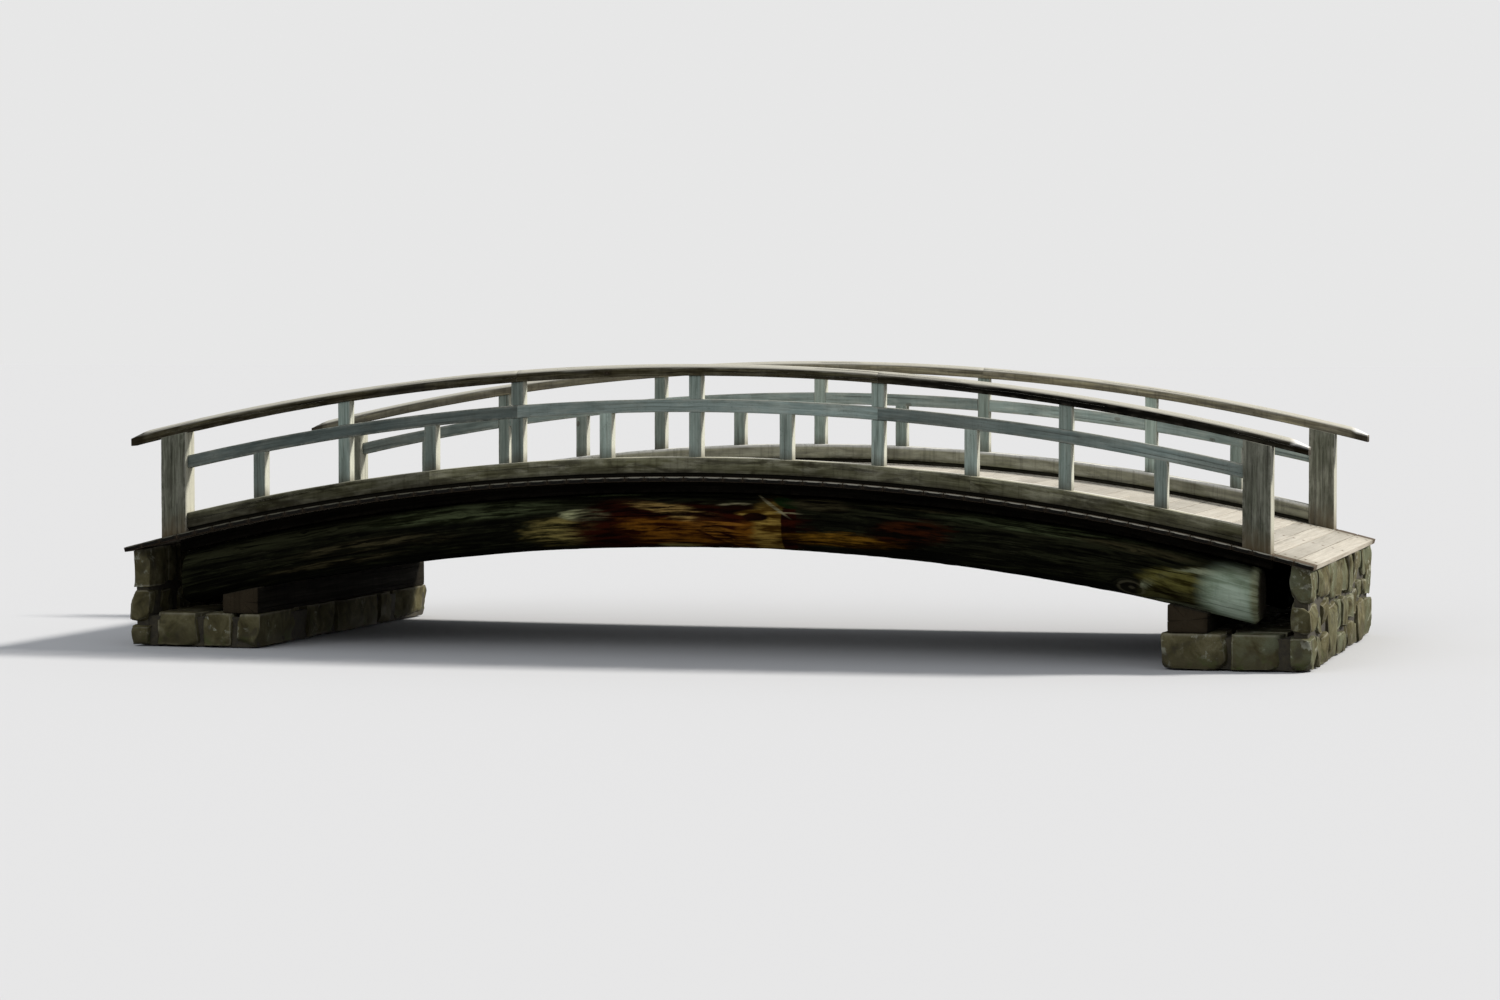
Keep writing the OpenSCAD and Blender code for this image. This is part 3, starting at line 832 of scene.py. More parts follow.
boards = {"count": 61, "gap": 0.0028, "widthSpread": 0.0012, "endSpread": 0.006, "arris": 0.002, "settle": 0.0006,
          "heightSpread": 0.0012, "nailIn": 0.038, "nailSpread": 0.012, "nailSink": 0.0012, "checks": (0, 3),
          "seed": 41, "grainSeed": 900}
boardShape = {"pitch": 0.085, "step": 0.03, "ease": 0.0018, "wave": 0.002, "waveLength": 0.5, "fibre": 0.0006,
              "wear": 0.003,
              "checks": {"length": (0.2, 0.9), "width": (0.0015, 0.003), "depth": (0.005, 0.012), "wander": 0.003}}
boardLook = {
    "stops": [(0.28, (0.24, 0.208, 0.162)), (0.44, (0.395, 0.357, 0.292)), (0.58, (0.495, 0.455, 0.382)),
              (0.76, (0.59, 0.552, 0.478))],
    "dark": (0.17, 0.14, 0.105), "silver": (0.545, 0.515, 0.45), "worn": (0.6, 0.56, 0.48),
    # the boards' near-black end colours are painted shade
    "endPale": (0.01, 0.008, 0.006), "endDark": (0.004, 0.0034, 0.0024), "crack": (0.03, 0.024, 0.018),
    "knotPale": (0.24, 0.18, 0.115), "knotDark": (0.11, 0.076, 0.046), "knotSize": 0.08,
    "grime": (0.07, 0.062, 0.043), "speck": (0.13, 0.11, 0.08), "specks": 0.3,
    "streakLength": 0.9, "streakWidth": 0.02, "ringWidth": 0.006, "fibreDark": 0.26,
    "silveringAndTopLight": 0.5, "patches": 0.5, "sunBleachAndLight": 0.0, "dripping": 0.1, "mottle": 0.15, "wear": 0.5,
    "stained": 0.1, "toneRange": 0.3, "fresh": (0.69, 0.66, 0.59),
    "rough": 0.82, "relief": 0.5, "ringRelief": 0.2, "gloss": 0.12,
    "rust": (0.12, 0.062, 0.03), "dirt": (0.15, 0.135, 0.095), "kerbFootDark": (0.06, 0.036, 0.018),
    "rimShaded": (0.125, 0.12, 0.09), "rimSunny": (0.42, 0.4, 0.33),
    # where each mask begins and ends: from a nail, from the deck's middle line, up from a board's middle
    "rustReach": (0.024, 0.009), "dirtReach": (1.55, 2.15), "kerbFootDarkReach": (1.785, 1.808), "rimReach": (0.008, 0.012),
}


def boardMaterial():
    material = woodMaterial("bleachedBoardWood", boardLook)
    tree = material.node_tree
    shader = tree.nodes["Principled BSDF"]
    plain = shader.inputs["Base Color"].links[0].from_socket
    lay = axesOf(tree, attributeOut(tree, "lay", "Vector"))
    where = surfaceOf(tree)
    # rust bleeds along the grain from the nails over each joist
    toJoist = mathOut(tree, "PINGPONG", plus(tree, lay[0], plan["girderY"] * 5), plan["girderY"] / 2)
    alongGrain = times(tree, toJoist, 0.35)
    toNail = minus(tree, sizeOf(tree, lay[1]), boards["nailIn"])
    squares = [mathOut(tree, "POWER", value, 2.0) for value in (alongGrain, toNail)]
    distance = mathOut(tree, "SQRT", plus(tree, *squares))
    blot = plus(tree, distance, times(tree, noiseOut(tree, where, 3.0, 0.6, 0.0, 60.0), 0.012))
    # dirt gathers along the kerbs, feet keep the middle clean, and a narrow strip under the kerbs' lip is darker
    toSide = sizeOf(tree, lay[0])
    broad = plus(tree, toSide, times(tree, noiseOut(tree, where, 4.0, 0.6, 0.0, 4.0), 0.5))
    narrow = plus(tree, toSide, times(tree, noiseOut(tree, where, 4.0, 0.6, 0.0, 14.0), 0.06))
    # painted shade: the ends are dark, but for a painted highlight along their upper edge that brightens towards the
    # sunny right
    ends = attributeOut(tree, "endGrain")
    rimSun = spread(tree, axesOf(tree, where)[0], -2.4, 1.0)
    rimPaint = mixColour(tree, rimSun, boardLook["rimShaded"], boardLook["rimSunny"])
    plug(tree, shader.inputs, {"Base Color": paintOver(tree, plain, [
        (spread(tree, blot, *boardLook["rustReach"]), 0.75, boardLook["rust"]),
        (spread(tree, broad, *boardLook["dirtReach"]), 0.55, boardLook["dirt"]),
        (spread(tree, narrow, *boardLook["kerbFootDarkReach"]), 0.85, boardLook["kerbFootDark"]),
        (ends, 1, boardLook["endDark"]),
        (times(tree, spread(tree, lay[2], *boardLook["rimReach"]), ends), 1, rimPaint),
    ])})
    return material


boardWood = boardMaterial()

nailLook = {"iron": (0.055, 0.045, 0.04), "rust": (0.15, 0.07, 0.032), "metallic": 0.6}
nailIron, tree, shader = newMaterial("rustedNailIron")
rusty = spread(tree, noiseOut(tree, surfaceOf(tree), 3.0, 0.6, 0.0, 240.0), 0.4, 0.6)
plug(tree, shader.inputs, {"Base Color": mixColour(tree, rusty, nailLook["iron"], nailLook["rust"]),
                           "Roughness": spread(tree, rusty, 0.0, 1.0, 0.45, 0.85), "Metallic": nailLook["metallic"]})

print("deck boards")
rng = np.random.default_rng(boards["seed"])
endTurn = math.asin(plan["halfDeck"] / arch["deck"])
marks = np.linspace(-endTurn, endTurn, boards["count"] + 1)
made, nails = [], []
for n, (turn0, turn1) in enumerate(zip(marks[:-1], marks[1:])):
    turn = (turn0 + turn1) / 2
    width = (turn1 - turn0) * arch["boardUnder"] - boards["gap"] + rng.uniform(-1, 1) * boards["widthSpread"]
    low, high = arch["boardUnder"], arch["deck"] - boards["settle"] - rng.uniform(0, boards["heightSpread"])
    outline = easedOutline(rectangle(-width / 2, width / 2, low, high), boards["arris"], boardShape["step"])

    def boardPlace(s, a, b, turn=turn):
        x = b * math.sin(turn) + a * math.cos(turn)
        return np.stack([x, s + 0 * a, arch["centreZ"] + b * math.cos(turn) - a * math.sin(turn)], axis=-1)

    start = -plan["halfWidth"] + rng.uniform(0, boards["endSpread"])
    end = plan["halfWidth"] - rng.uniform(0, boards["endSpread"])
    checkCount = int(rng.integers(*boards["checks"]))
    made.append(timber(start, end, outline, boardPlace, boardShape, rng, checkCount, boards["grainSeed"] + n))
    for y in (-plan["girderY"], 0.0, plan["girderY"]):
        for a in (-boards["nailIn"], boards["nailIn"]):
            aside = rng.uniform(-boards["nailSpread"], boards["nailSpread"])
            nails.append((boardPlace(np.array(y + aside), np.array(a), np.array(high - boards["nailSink"])), turn))
makePiece("deckBoards", made, [boardWood], ["deck"])


nail = {"radius": 0.0055, "rise": 0.0016, "around": 8, "rings": ((1.0, -0.6), (1.0, 0.3), (0.75, 0.8))}


def nailHead(centre, turn):
    up = np.array([math.sin(turn), 0, math.cos(turn)])
    east, north = np.array([math.cos(turn), 0, -math.sin(turn)]), np.array([0.0, 1.0, 0.0])
    count, lifts = nail["around"], nail["rise"] * up
    points = []
    for scale, lift in nail["rings"]:
        for k in range(count):
            angle = 2 * math.pi * k / count
            away = east * math.cos(angle) + north * math.sin(angle)
            points.append(centre + away * nail["radius"] * scale + lifts * lift)
    points += [centre + lifts, centre - lifts * 0.6]
    loop = [(k, (k + 1) % count) for k in range(count)]
    quads = [[low + k, low + m, low + count + m, low + count + k] for low in (0, count) for k, m in loop]
    top, under = 3 * count, 3 * count + 1
    fan = [[top, 2 * count + k, 2 * count + m] for k, m in loop] + [[under, m, k] for k, m in loop]
    return {"points": np.array(points), "quads": quads, "fan": fan, "values": {"tone": np.zeros(len(points))}}


makePiece("deckNails", [nailHead(*head) for head in nails], [nailIron], ["deck"])


# joists and sills

# the joists and sills are nearly black: painted shade under the deck
beamLook = dict(postLook,
    stops=[(0.3, (0.002, 0.0016, 0.001)), (0.46, (0.006, 0.005, 0.0034)), (0.6, (0.014, 0.0115, 0.008)),
           (0.76, (0.034, 0.028, 0.02))],
    dark=(0.002, 0.0016, 0.001), silver=(0.07, 0.062, 0.046), worn=(0.06, 0.051, 0.036),
    speck=(0.003, 0.0025, 0.002), knotPale=(0.014, 0.01, 0.006), knotDark=(0.004, 0.003, 0.002),
    endPale=(0.06, 0.046, 0.028), endDark=(0.018, 0.013, 0.008), crack=(0.001, 0.001, 0.0007),
    grime=(0.004, 0.003, 0.002), streakLength=0.9, streakWidth=0.022, silveringAndTopLight=0.4, patches=0.15,
    sunBleachAndLight=0.15, dripping=0.35, mottle=0.05, wear=0.35, gloss=0.02)
beamWood = woodMaterial("darkBeamWood", beamLook)
joist = {"halfLength": 4.27, "half": 0.055, "arris": 0.006, "checkCount": 3, "seed": 60, "grainSeed": 200}
joistShape = {"pitch": 0.1, "step": 0.024, "ease": 0.004, "wave": 0.0022, "waveLength": 0.5, "fibre": 0.0008,
              "wear": 0.004,
              "checks": {"length": (0.5, 1.5), "width": (0.002, 0.004), "depth": (0.006, 0.015), "wander": 0.003}}

print("joists and sills")
for name, y in (("front", -plan["girderY"]), ("middle", 0.0), ("back", plan["girderY"])):
    rng = np.random.default_rng(joist["seed"] + int(y * 10))
    half, reach, seed = joist["half"], joist["halfLength"], joist["grainSeed"] + int(y * 10)
    corners = rectangle(-half, half, arch["girderTop"], arch["boardUnder"] + bedding)
    outline = easedOutline(corners, joist["arris"], joistShape["step"])
    part = timber(-reach, reach, outline, archPlace(y), joistShape, rng, joist["checkCount"], seed)
    makePiece(f"{name}JoistTimber", [part], [beamWood], [f"{name}_joist"])

sill = {"inner": 3.54, "outer": 3.84, "reach": 1.835, "foot": 0.27, "arris": 0.01, "seatCut": 0.015,
        "checkCount": 5, "seed": 80, "grainSeed": 230}
sillShape = {"pitch": 0.06, "step": 0.03, "ease": 0.006, "wave": 0.004, "waveLength": 0.5, "fibre": 0.001,
             "wear": 0.008,
             "checks": {"length": (0.3, 1.2), "width": (0.003, 0.006), "depth": (0.01, 0.025), "wander": 0.004}}


def seatZ(x):    # the line that girders sit on, straight from the sill's inner to its outer edge
    z0, z1 = (arcZ(arch["girderUnder"], v) + sill["seatCut"] for v in (sill["inner"], sill["outer"]))
    return z0 + (z1 - z0) * (x - sill["inner"]) / (sill["outer"] - sill["inner"])


for end, sign in (("left", -1), ("right", 1)):
    rng = np.random.default_rng(sill["seed"] + sign)
    inner, outer, foot, reach = sill["inner"], sill["outer"], sill["foot"] - bedding, sill["reach"]
    corners = [(inner, foot), (outer, foot), (outer, seatZ(outer) + bedding), (inner, seatZ(inner) + bedding)]
    outline = easedOutline(corners, sill["arris"], sillShape["step"])

    def sillPlace(s, a, b, sign=sign):
        return np.stack([sign * a, s + 0 * a, b + 0 * a], axis=-1)

    part = timber(-reach, reach, outline, sillPlace, sillShape, rng, sill["checkCount"], sill["grainSeed"] + sign)
    makePiece(f"{end}SillTimber", [part], [beamWood], [f"{end}_sill"])


# girder logs

girder = {"diameter": 0.47, "middle": 17.86, "halfLength": 4.2, "around": 84, "slant": 0.045, "checkCount": 9,
          "seed": 640}
girderShape = {"pitch": 0.03, "ease": 0.032, "wave": 0.014, "waveLength": 0.9, "fibre": 0.0016, "wear": 0.01,
               "checks": {"length": (0.7, 2.6), "width": (0.003, 0.008), "depth": (0.012, 0.035), "wander": 0.01},
               "pith": (0, 0.06, 0.06)}
# the log's nearly black base colours are painted shade under the deck
logLook = {
    "stops": [(0.3, (0.0004, 0.0004, 0.0002)), (0.46, (0.0012, 0.0012, 0.0006)), (0.58, (0.0036, 0.0037, 0.0018)),
              (0.72, (0.017, 0.017, 0.009))],
    "line": (0.045, 0.045, 0.026), "cloud": (0.022, 0.024, 0.011), "olive": (0.026, 0.027, 0.013),
    "crack": (0.0004, 0.0004, 0.0002), "endPale": (0.1, 0.085, 0.06), "endDark": (0.03, 0.024, 0.015),
    "knotPale": (0.1, 0.09, 0.055), "knotDark": (0.006, 0.005, 0.003), "gloss": 0.02,
    # streak length and width, ring width
    "broad": (1.4, 0.05, 0.011), "fine": (0.34, 0.018, 0.02), "thin": (1.1, 0.009, 0.02), "bold": (0.3, 0.042, 0.02),
}
# the darker and the paler tone of each stain and painted reflection
stainAndReflectionTones = {
    "band": ((0.008, 0.01, 0.003), (0.07, 0.084, 0.04)), "haze": ((0.014, 0.012, 0.003), (0.27, 0.215, 0.068)),
    "blotch": ((0.19, 0.192, 0.1), (0.56, 0.57, 0.31)), "ember": ((0.004, 0.0005, 0.0003), (0.03, 0.005, 0.0015)),
    "straw": ((0.007, 0.002, 0.001), (0.33, 0.215, 0.066)), "amber": ((0.024, 0.004, 0.0005), (0.19, 0.073, 0.007)),
    "flame": ((0.02, 0.004, 0.0005), (0.24, 0.098, 0.013)), "gold": ((0.06, 0.028, 0.003), (0.35, 0.232, 0.05)),
    "orange": ((0.03, 0.011, 0.0005), (0.25, 0.122, 0.012)), "rust": ((0.0015, 0.0003, 0.0002), (0.036, 0.009, 0.002)),
    "hollow": ((0.003, 0.0008, 0.0005), (0.012, 0.003, 0.001)), "lid": ((0.15, 0.13, 0.075), (0.33, 0.3, 0.17)),
    "glaze": ((0.005, 0.014, 0.003), (0.01, 0.024, 0.006)), "ash": ((0.005, 0.004, 0.002), (0.052, 0.044, 0.021)),
    "bleachAndGlow": ((0.2, 0.255, 0.172), (0.355, 0.44, 0.33)), "frost": ((0.31, 0.385, 0.292), (0.46, 0.555, 0.44)),
    "arc": ((0.115, 0.124, 0.072), (0.29, 0.31, 0.2)), "ochre": ((0.024, 0.019, 0.003), (0.13, 0.118, 0.032)),
    "umber": ((0.012, 0.009, 0.002), (0.075, 0.07, 0.024)), "lichen": ((0.13, 0.136, 0.075), (0.29, 0.31, 0.2)),
}
# stains, and painted reflections of light off the water, on a log's outer side, painted in this order: name, place
# along it, height from its middle, half length, half height, raggedness, slope, squareness, softness, share of it that
# streaks leave bare
logStainsAndReflections = [
    ("band", -1.85, 0.14, 0.62, 0.05, 3.0, 0.0, 2, 0.7, 0.5),
    ("ash", -2.6, -0.02, 0.5, 0.04, 4.0, 0.0, 2, 0.8, 0.8),
    ("band", -0.7, 0.205, 0.17, 0.01, 1.5, 0.0, 2, 0.8, 0.4),
    ("ash", -2.9, -0.12, 0.4, 0.02, 4.0, 0.0, 2, 0.8, 0.7),
    ("haze", -1.08, -0.055, 0.23, 0.08, 3.0, 0.0, 2.5, 0.6, 0.4),
    ("blotch", -0.89, 0.056, 0.14, 0.034, 2.0, -0.05, 2, 0.7, 0.1),
    ("ember", -0.62, -0.03, 0.3, 0.15, 2.0, 0.0, 2, 0.6, 0.2),
    ("ember", 0.05, -0.06, 0.62, 0.15, 2.0, 0.0, 2.5, 0.5, 0.1),
    ("straw", -0.17, 0.08, 0.28, 0.034, 4.0, -0.15, 2, 0.5, 0.5),
    ("amber", -0.33, -0.055, 0.28, 0.06, 3.5, -0.04, 2, 0.6, 0.5),
    ("amber", 0.0, -0.03, 0.2, 0.055, 4.0, -0.08, 2, 0.6, 0.6),
    ("straw", -0.04, 0.012, 0.16, 0.02, 3.5, -0.12, 2, 0.6, 0.6),
    ("haze", -0.16, -0.186, 0.13, 0.016, 2.5, 0.0, 2, 0.7, 0.4),
    ("amber", -0.05, -0.14, 0.34, 0.036, 4.0, 0.0, 2, 0.6, 0.6),
    ("ember", 0.2, -0.055, 0.2, 0.09, 1.5, -0.2, 2, 0.5, 0.1),
    ("flame", 0.16, -0.11, 0.2, 0.02, 1.5, -0.42, 2, 0.6, 0.4),
    ("flame", 0.18, -0.062, 0.21, 0.016, 1.5, -0.22, 2, 0.6, 0.4),
    ("flame", 0.19, -0.014, 0.18, 0.012, 1.5, -0.04, 2, 0.6, 0.5),
    ("amber", 0.47, -0.085, 0.15, 0.08, 2.5, 0.0, 3, 0.5, 0.4),
    ("gold", 0.56, -0.045, 0.095, 0.135, 3.0, 0.0, 2.5, 0.9, 0.3),
    ("lid", 0.27, 0.136, 0.085, 0.007, 0.8, 0.05, 2, 0.9, 0.5),
    ("hollow", 0.27, 0.098, 0.105, 0.03, 1.2, 0.05, 2, 0.4, 0.0),
    ("gold", 0.45, 0.078, 0.11, 0.017, 1.2, 0.06, 2, 0.7, 0.2),
    ("hollow", 0.44, 0.045, 0.08, 0.026, 1.0, 0.0, 2, 0.4, 0.0),
    ("ember", 0.7, -0.04, 0.052, 0.15, 0.6, 0.0, 6, 0.2, 0.0),
    ("glaze", 0.67, 0.16, 0.08, 0.028, 1.5, -0.2, 2, 0.5, 0.0),
    ("lid", 0.572, 0.13, 0.086, 0.009, 0.8, -0.6, 2, 0.9, 0.5),
    ("lid", 0.7, 0.084, 0.07, 0.004, 0.8, 0.0, 2, 0.9, 0.7),
    ("orange", 1.12, -0.095, 0.36, 0.042, 3.5, 0.02, 2, 0.6, 0.4),
    ("rust", 1.62, -0.005, 0.25, 0.08, 2.5, 0.1, 2, 0.6, 0.3),
    ("ash", 0.93, 0.158, 0.17, 0.03, 3.0, 0.0, 2, 0.8, 0.3),
    ("ash", 1.65, 0.186, 0.26, 0.012, 3.0, 0.0, 2, 0.8, 0.5),
    ("band", 2.7, 0.165, 0.62, 0.03, 3.5, 0.0, 2, 0.9, 0.6),
    ("ash", 3.3, 0.15, 0.3, 0.024, 3.0, 0.0, 2, 0.9, 0.4),
    ("lichen", 4.09, -0.02, 0.16, 0.13, 1.5, 0.0, 2, 0.8, 0.1),
    ("umber", 3.78, -0.085, 0.43, 0.18, 0.7, 0.17, 2, 0.2, 0.0),
    ("arc", 3.8, -0.188, 0.26, 0.012, 1.0, 0.0, 2, 0.9, 0.3),
    ("ochre", 3.62, -0.015, 0.21, 0.06, 2.0, 0.05, 2, 0.6, 0.1),
    # painted reflection of light off the water on the log's end, with a brighter core
    ("bleachAndGlow", 4.02, -0.06, 0.16, 0.145, 0.8, 0.0, 2, 1.0, 0.0),
    ("frost", 4.0, -0.09, 0.09, 0.09, 0.8, 0.0, 2, 1.0, 0.0),
    ("lichen", 4.215, 0.0, 0.05, 0.26, 0.8, 0.0, 2, 1.0, 0.0),
]

# a ragged oval patch: its mask, and a thin rim round its upper edge
stainAndReflectionPatch, into, out = newGroup("stainAndReflectionPatch",
    {"Place": None, "Uneven": 0.0, "Along": 0.0, "Height": 0.0, "Half Length": 0.3, "Half Height": 0.1, "Ragged": 1.0,
     "Slope": 0.0, "Squareness": 2.0, "Softness": 0.4},
    ("Mask", "Upper Rim"))
tree = stainAndReflectionPatch
place = axesOf(tree, into["Place"])
fromMiddle = minus(tree, place[0], into["Along"])
rise = minus(tree, minus(tree, place[2], into["Height"]), times(tree, fromMiddle, into["Slope"]))
shares = [sizeOf(tree, mathOut(tree, "DIVIDE", value, into[half]))
          for value, half in ((fromMiddle, "Half Length"), (rise, "Half Height"))]
both = plus(tree, *[mathOut(tree, "POWER", share, into["Squareness"]) for share in shares])
reach = mathOut(tree, "POWER", both, mathOut(tree, "DIVIDE", 1.0, into["Squareness"]))
reach = plus(tree, reach, times(tree, into["Uneven"], into["Ragged"]))
outerSide = spread(tree, place[1], -0.03, 0.06)
rim = spread(tree, sizeOf(tree, minus(tree, reach, 0.98)), 0.15, 0.03)
faded = spread(tree, reach, plus(tree, into["Softness"], 1.0), 1.0)
plug(tree, out, {"Mask": times(tree, faded, outerSide),
                 "Upper Rim": times(tree, times(tree, rim, spread(tree, rise, 0.02, 0.07)), outerSide)})


def logMaterial():
    material, tree, shader = newMaterial("strippedLogWood")
    grain = attributeOut(tree, "grain", "Vector")
    place = attributeOut(tree, "stain", "Vector")
    wood, fine, thin, bold = (
        useGroup(tree, woodGrain, {"Grain": grain, "Streak Length": length, "Streak Width": width,
                                   "Ring Width": ring})
        for length, width, ring in (logLook[key] for key in ("broad", "fine", "thin", "bold")))
    weather = useGroup(tree, weathering, {"Grain": grain, "Drip": 0.4})
    mingled = plus(tree, times(tree, wood["Streak"], 0.45), times(tree, fine["Streak"], 0.55))
    uneven = minus(tree, mingled, 0.5)
    # painted highlight along the upper shoulder
    shoulder = times(tree, attributeOut(tree, "shoulder"), spread(tree, mingled, 0.44, 0.6))
    clouds = times(tree, weather["Mottle"], spread(tree, mingled, 0.46, 0.6, 0.1, 0.8))
    lines = times(tree, spread(tree, thin["Streak"], 0.58, 0.68), spread(tree, wood["Streak"], 0.42, 0.58, 0.1, 0.6))
    colour = paintOver(tree, ramp(tree, mingled, logLook["stops"]), [
        (shoulder, 1, logLook["olive"]), (clouds, 1, logLook["cloud"]), (lines, 1, logLook["line"])])

    streaks = spread(tree, fine["Streak"], 0.44, 0.57)
    contrast = plus(tree, times(tree, bold["Streak"], 0.65), times(tree, fine["Streak"], 0.35))
    paler = spread(tree, contrast, 0.42, 0.6)
    tones = {name: mixColour(tree, paler, dark, pale) for name, (dark, pale) in stainAndReflectionTones.items()}
    for name, along, height, halfLength, halfHeight, ragged, slope, squareness, softness, bare in logStainsAndReflections:
        patch = useGroup(tree, stainAndReflectionPatch, {
            "Place": place, "Uneven": uneven, "Along": along, "Height": height, "Half Length": halfLength,
            "Half Height": halfHeight, "Ragged": ragged, "Slope": slope, "Squareness": float(squareness),
            "Softness": softness})
        broken = times(tree, patch["Mask"], spread(tree, streaks, 0.0, 1.0, 1.0 - bare, 1.0))
        colour = mixColour(tree, broken, colour, tones[name])
        if name == "umber":
            colour = paintOver(tree, colour, [(patch["Upper Rim"], 0.95, tones["arc"])])

    knot = attributeOut(tree, "knot")    # 1 at a knot's heart, 0 outside it
    turns = plus(tree, times(tree, knot, 15.0), times(tree, uneven, 9.0))
    rings = spread(tree, mathOut(tree, "SINE", turns), 0.1, 1.0)
    colour = paintOver(tree, colour, [
        (spread(tree, knot, 0.3, 0.6), 0.6, mixColour(tree, rings, logLook["knotDark"], logLook["knotPale"])),
        (attributeOut(tree, "endGrain"), 1, mixColour(tree, wood["Ring"], logLook["endPale"], logLook["endDark"])),
        (weather["Drip"], 0.35, logLook["stops"][0][1]),
        (attributeOut(tree, "crack"), 1, logLook["crack"]),
    ])
    relief = plus(tree, times(tree, mingled, 1.2), times(tree, fine["Fibre"], 0.4))
    plug(tree, shader.inputs, {
        "Base Color": colour, "Roughness": spread(tree, mingled, 0.3, 0.7, 0.9, 0.66),
        "Normal": bumpOut(tree, relief, 0.7, 0.01), "Specular IOR Level": logLook["gloss"]})
    return material


logWood = logMaterial()


# knots: how many on a log, how far out, their radius and how far they stretch along the grain
knotRules = {"count": 7, "farthest": 3.9, "turn": 0.7, "radius": (0.03, 0.055), "stretch": 1.7, "swell": 0.014,
             "dent": 0.03, "front": (3.27, -0.62, 0.06)}
logRadius = girder["diameter"] / 2


def bell(value, middle, reach):
    return np.exp(-((value - middle) / reach) ** 2)


def turnBetween(angle, other):
    return np.angle(np.exp(1j * (angle - other)))


def drawKnots(rng, name):    # each one's place along the log, angle round it (0 outwards, up is positive), radius
    far, turn = knotRules["farthest"], knotRules["turn"]
    knots = [(rng.uniform(-far, far), rng.uniform(-turn, turn) + (math.pi if rng.random() < 0.4 else 0),
              rng.uniform(*knotRules["radius"])) for _ in range(knotRules["count"])]
    if name == "front":    # the one knot that shows
        knots = [knot for knot in knots if abs(knot[1]) > math.pi / 2] + [knotRules["front"]]
    return knots


def knotField(knots, s, grainA, grainB):    # 1 at a knot's heart, 0 outside it
    angle = np.arctan2(grainB, grainA)
    nearest = np.zeros(np.shape(s))
    for at, turn, size in knots:
        across = turnBetween(angle, turn) * logRadius
        distance = np.sqrt(((s - at) / knotRules["stretch"]) ** 2 + across ** 2) / size
        nearest = np.maximum(nearest, np.clip(1 - distance / 2, 0, 1))
    return nearest


def easeNose(points):    # the slant that eases the lower edge at both ends
    kept = points.copy()
    start = girder["halfLength"] - girder["slant"]
    rise = np.abs(kept[..., 0]) - start
    kept[..., 2] = np.maximum(kept[..., 2], arcZ(arch["girderUnder"], start) + rise)
    return kept


def sit(points):    # flattens the underside where it lies on a sill
    kept = points.copy()
    kept[..., 2] = np.maximum(kept[..., 2], seatZ(np.abs(kept[..., 0])))
    return kept


print("girder logs")
for name, y, out in (("front", -plan["girderY"], -1), ("middle", 0.0, -1), ("back", plan["girderY"], 1)):
    seed = girder["seed"] + int(y * 10)
    rng = np.random.default_rng(seed)
    outline = logOutline(girder["diameter"], girder["middle"], arch["girderUnder"], arch["girderTop"], girder["around"])
    half = girder["halfLength"]
    knots = drawKnots(rng, name)

    def bulges(s, a, b, grainA, grainB, knots=knots):
        near = knotField(knots, s, grainA, grainB)
        onSide = np.clip(1.6 * np.abs(grainA) / logRadius - 0.3, 0, 1)
        return (knotRules["swell"] * np.sin(np.pi * near) - knotRules["dent"] * np.clip(near - 0.72, 0, 1)) * onSide

    seats = []
    for sign in (-1, 1):
        seats.append((*sorted((sign * (sill["inner"] - fitGap), sign * (sill["outer"] + fitGap))), sit))
        seats.append((*sorted((sign * (half - girder["slant"]), sign * half)), easeNose))
    seats.sort(key=lambda seat: seat[0])
    part = timber(-half, half, outline, archPlace(y, out), girderShape, rng, girder["checkCount"], seed, seats, bulges)
    values = part["values"]
    s, ga, gb = values["lay"].T
    angle = np.arctan2(gb, ga)
    low = layeredNoise(s / 0.5, ga / 0.09, gb / 0.09, seed + 3)
    # the stains and painted reflections lie as they are on the front log, mirrored and moved on the back one, off the
    # middle one
    patchAlong = {"front": s, "middle": s + 40, "back": 0.6 - 0.9 * s}[name]
    values["stain"] = np.stack([patchAlong, ga, gb], axis=-1)
    values["knot"] = knotField(knots, s, ga, gb)
    # painted highlight where sky light catches the upper shoulder, and a weaker one below the middle
    values["shoulder"] = bell(angle, 0.62, 0.3) * np.clip(0.4 + 0.9 * low, 0, 1) + 0.5 * bell(angle, -0.2, 0.25) * low
    # streaks part round the knots
    bent = angle.copy()
    for at, turn, size in knots:
        aside = turnBetween(angle, turn)
        far = ((s - at) / knotRules["stretch"]) ** 2 + (aside * logRadius) ** 2
        bent -= aside * np.clip((1.3 * size) ** 2 / np.maximum(far, 1e-6), 0, 1)
    reach = np.hypot(ga, gb)
    moved = (0 * s, reach * (np.cos(bent) - np.cos(angle)), reach * (np.sin(bent) - np.sin(angle)))
    values["grain"] = values["grain"] + np.stack(moved, axis=-1)
    makePiece(f"{name}GirderLog", [part], [logWood], [f"{name}_girder"], tidy=True, sharp=48)


# stone abutments

stoneWork = {"inner": 3.48, "outer": 4.62, "wall": 4.4, "reach": 1.9, "ledge": 0.27, "joint": 0.003, "recess": 0.055,
             "bend": 0.055, "bendLength": 0.3, "bendFade": 0.09, "smallest": 0.24, "wallLargest": (0.6, 0.44),
             "wallSmallest": 0.17}
stoneLook = {
    "stops": [(0.3, (0.04, 0.034, 0.014)), (0.46, (0.092, 0.08, 0.036)), (0.6, (0.15, 0.134, 0.07)),
              (0.76, (0.245, 0.226, 0.142))],
    "grey": (0.112, 0.132, 0.084), "grit": (0.07, 0.062, 0.04), "lichen": (0.4, 0.405, 0.32),
    "damp": (0.055, 0.047, 0.022), "moss": (0.07, 0.085, 0.028), "dirt": (0.05, 0.044, 0.03),
    "worn": (0.43, 0.405, 0.33), "gloss": 0.12,
}
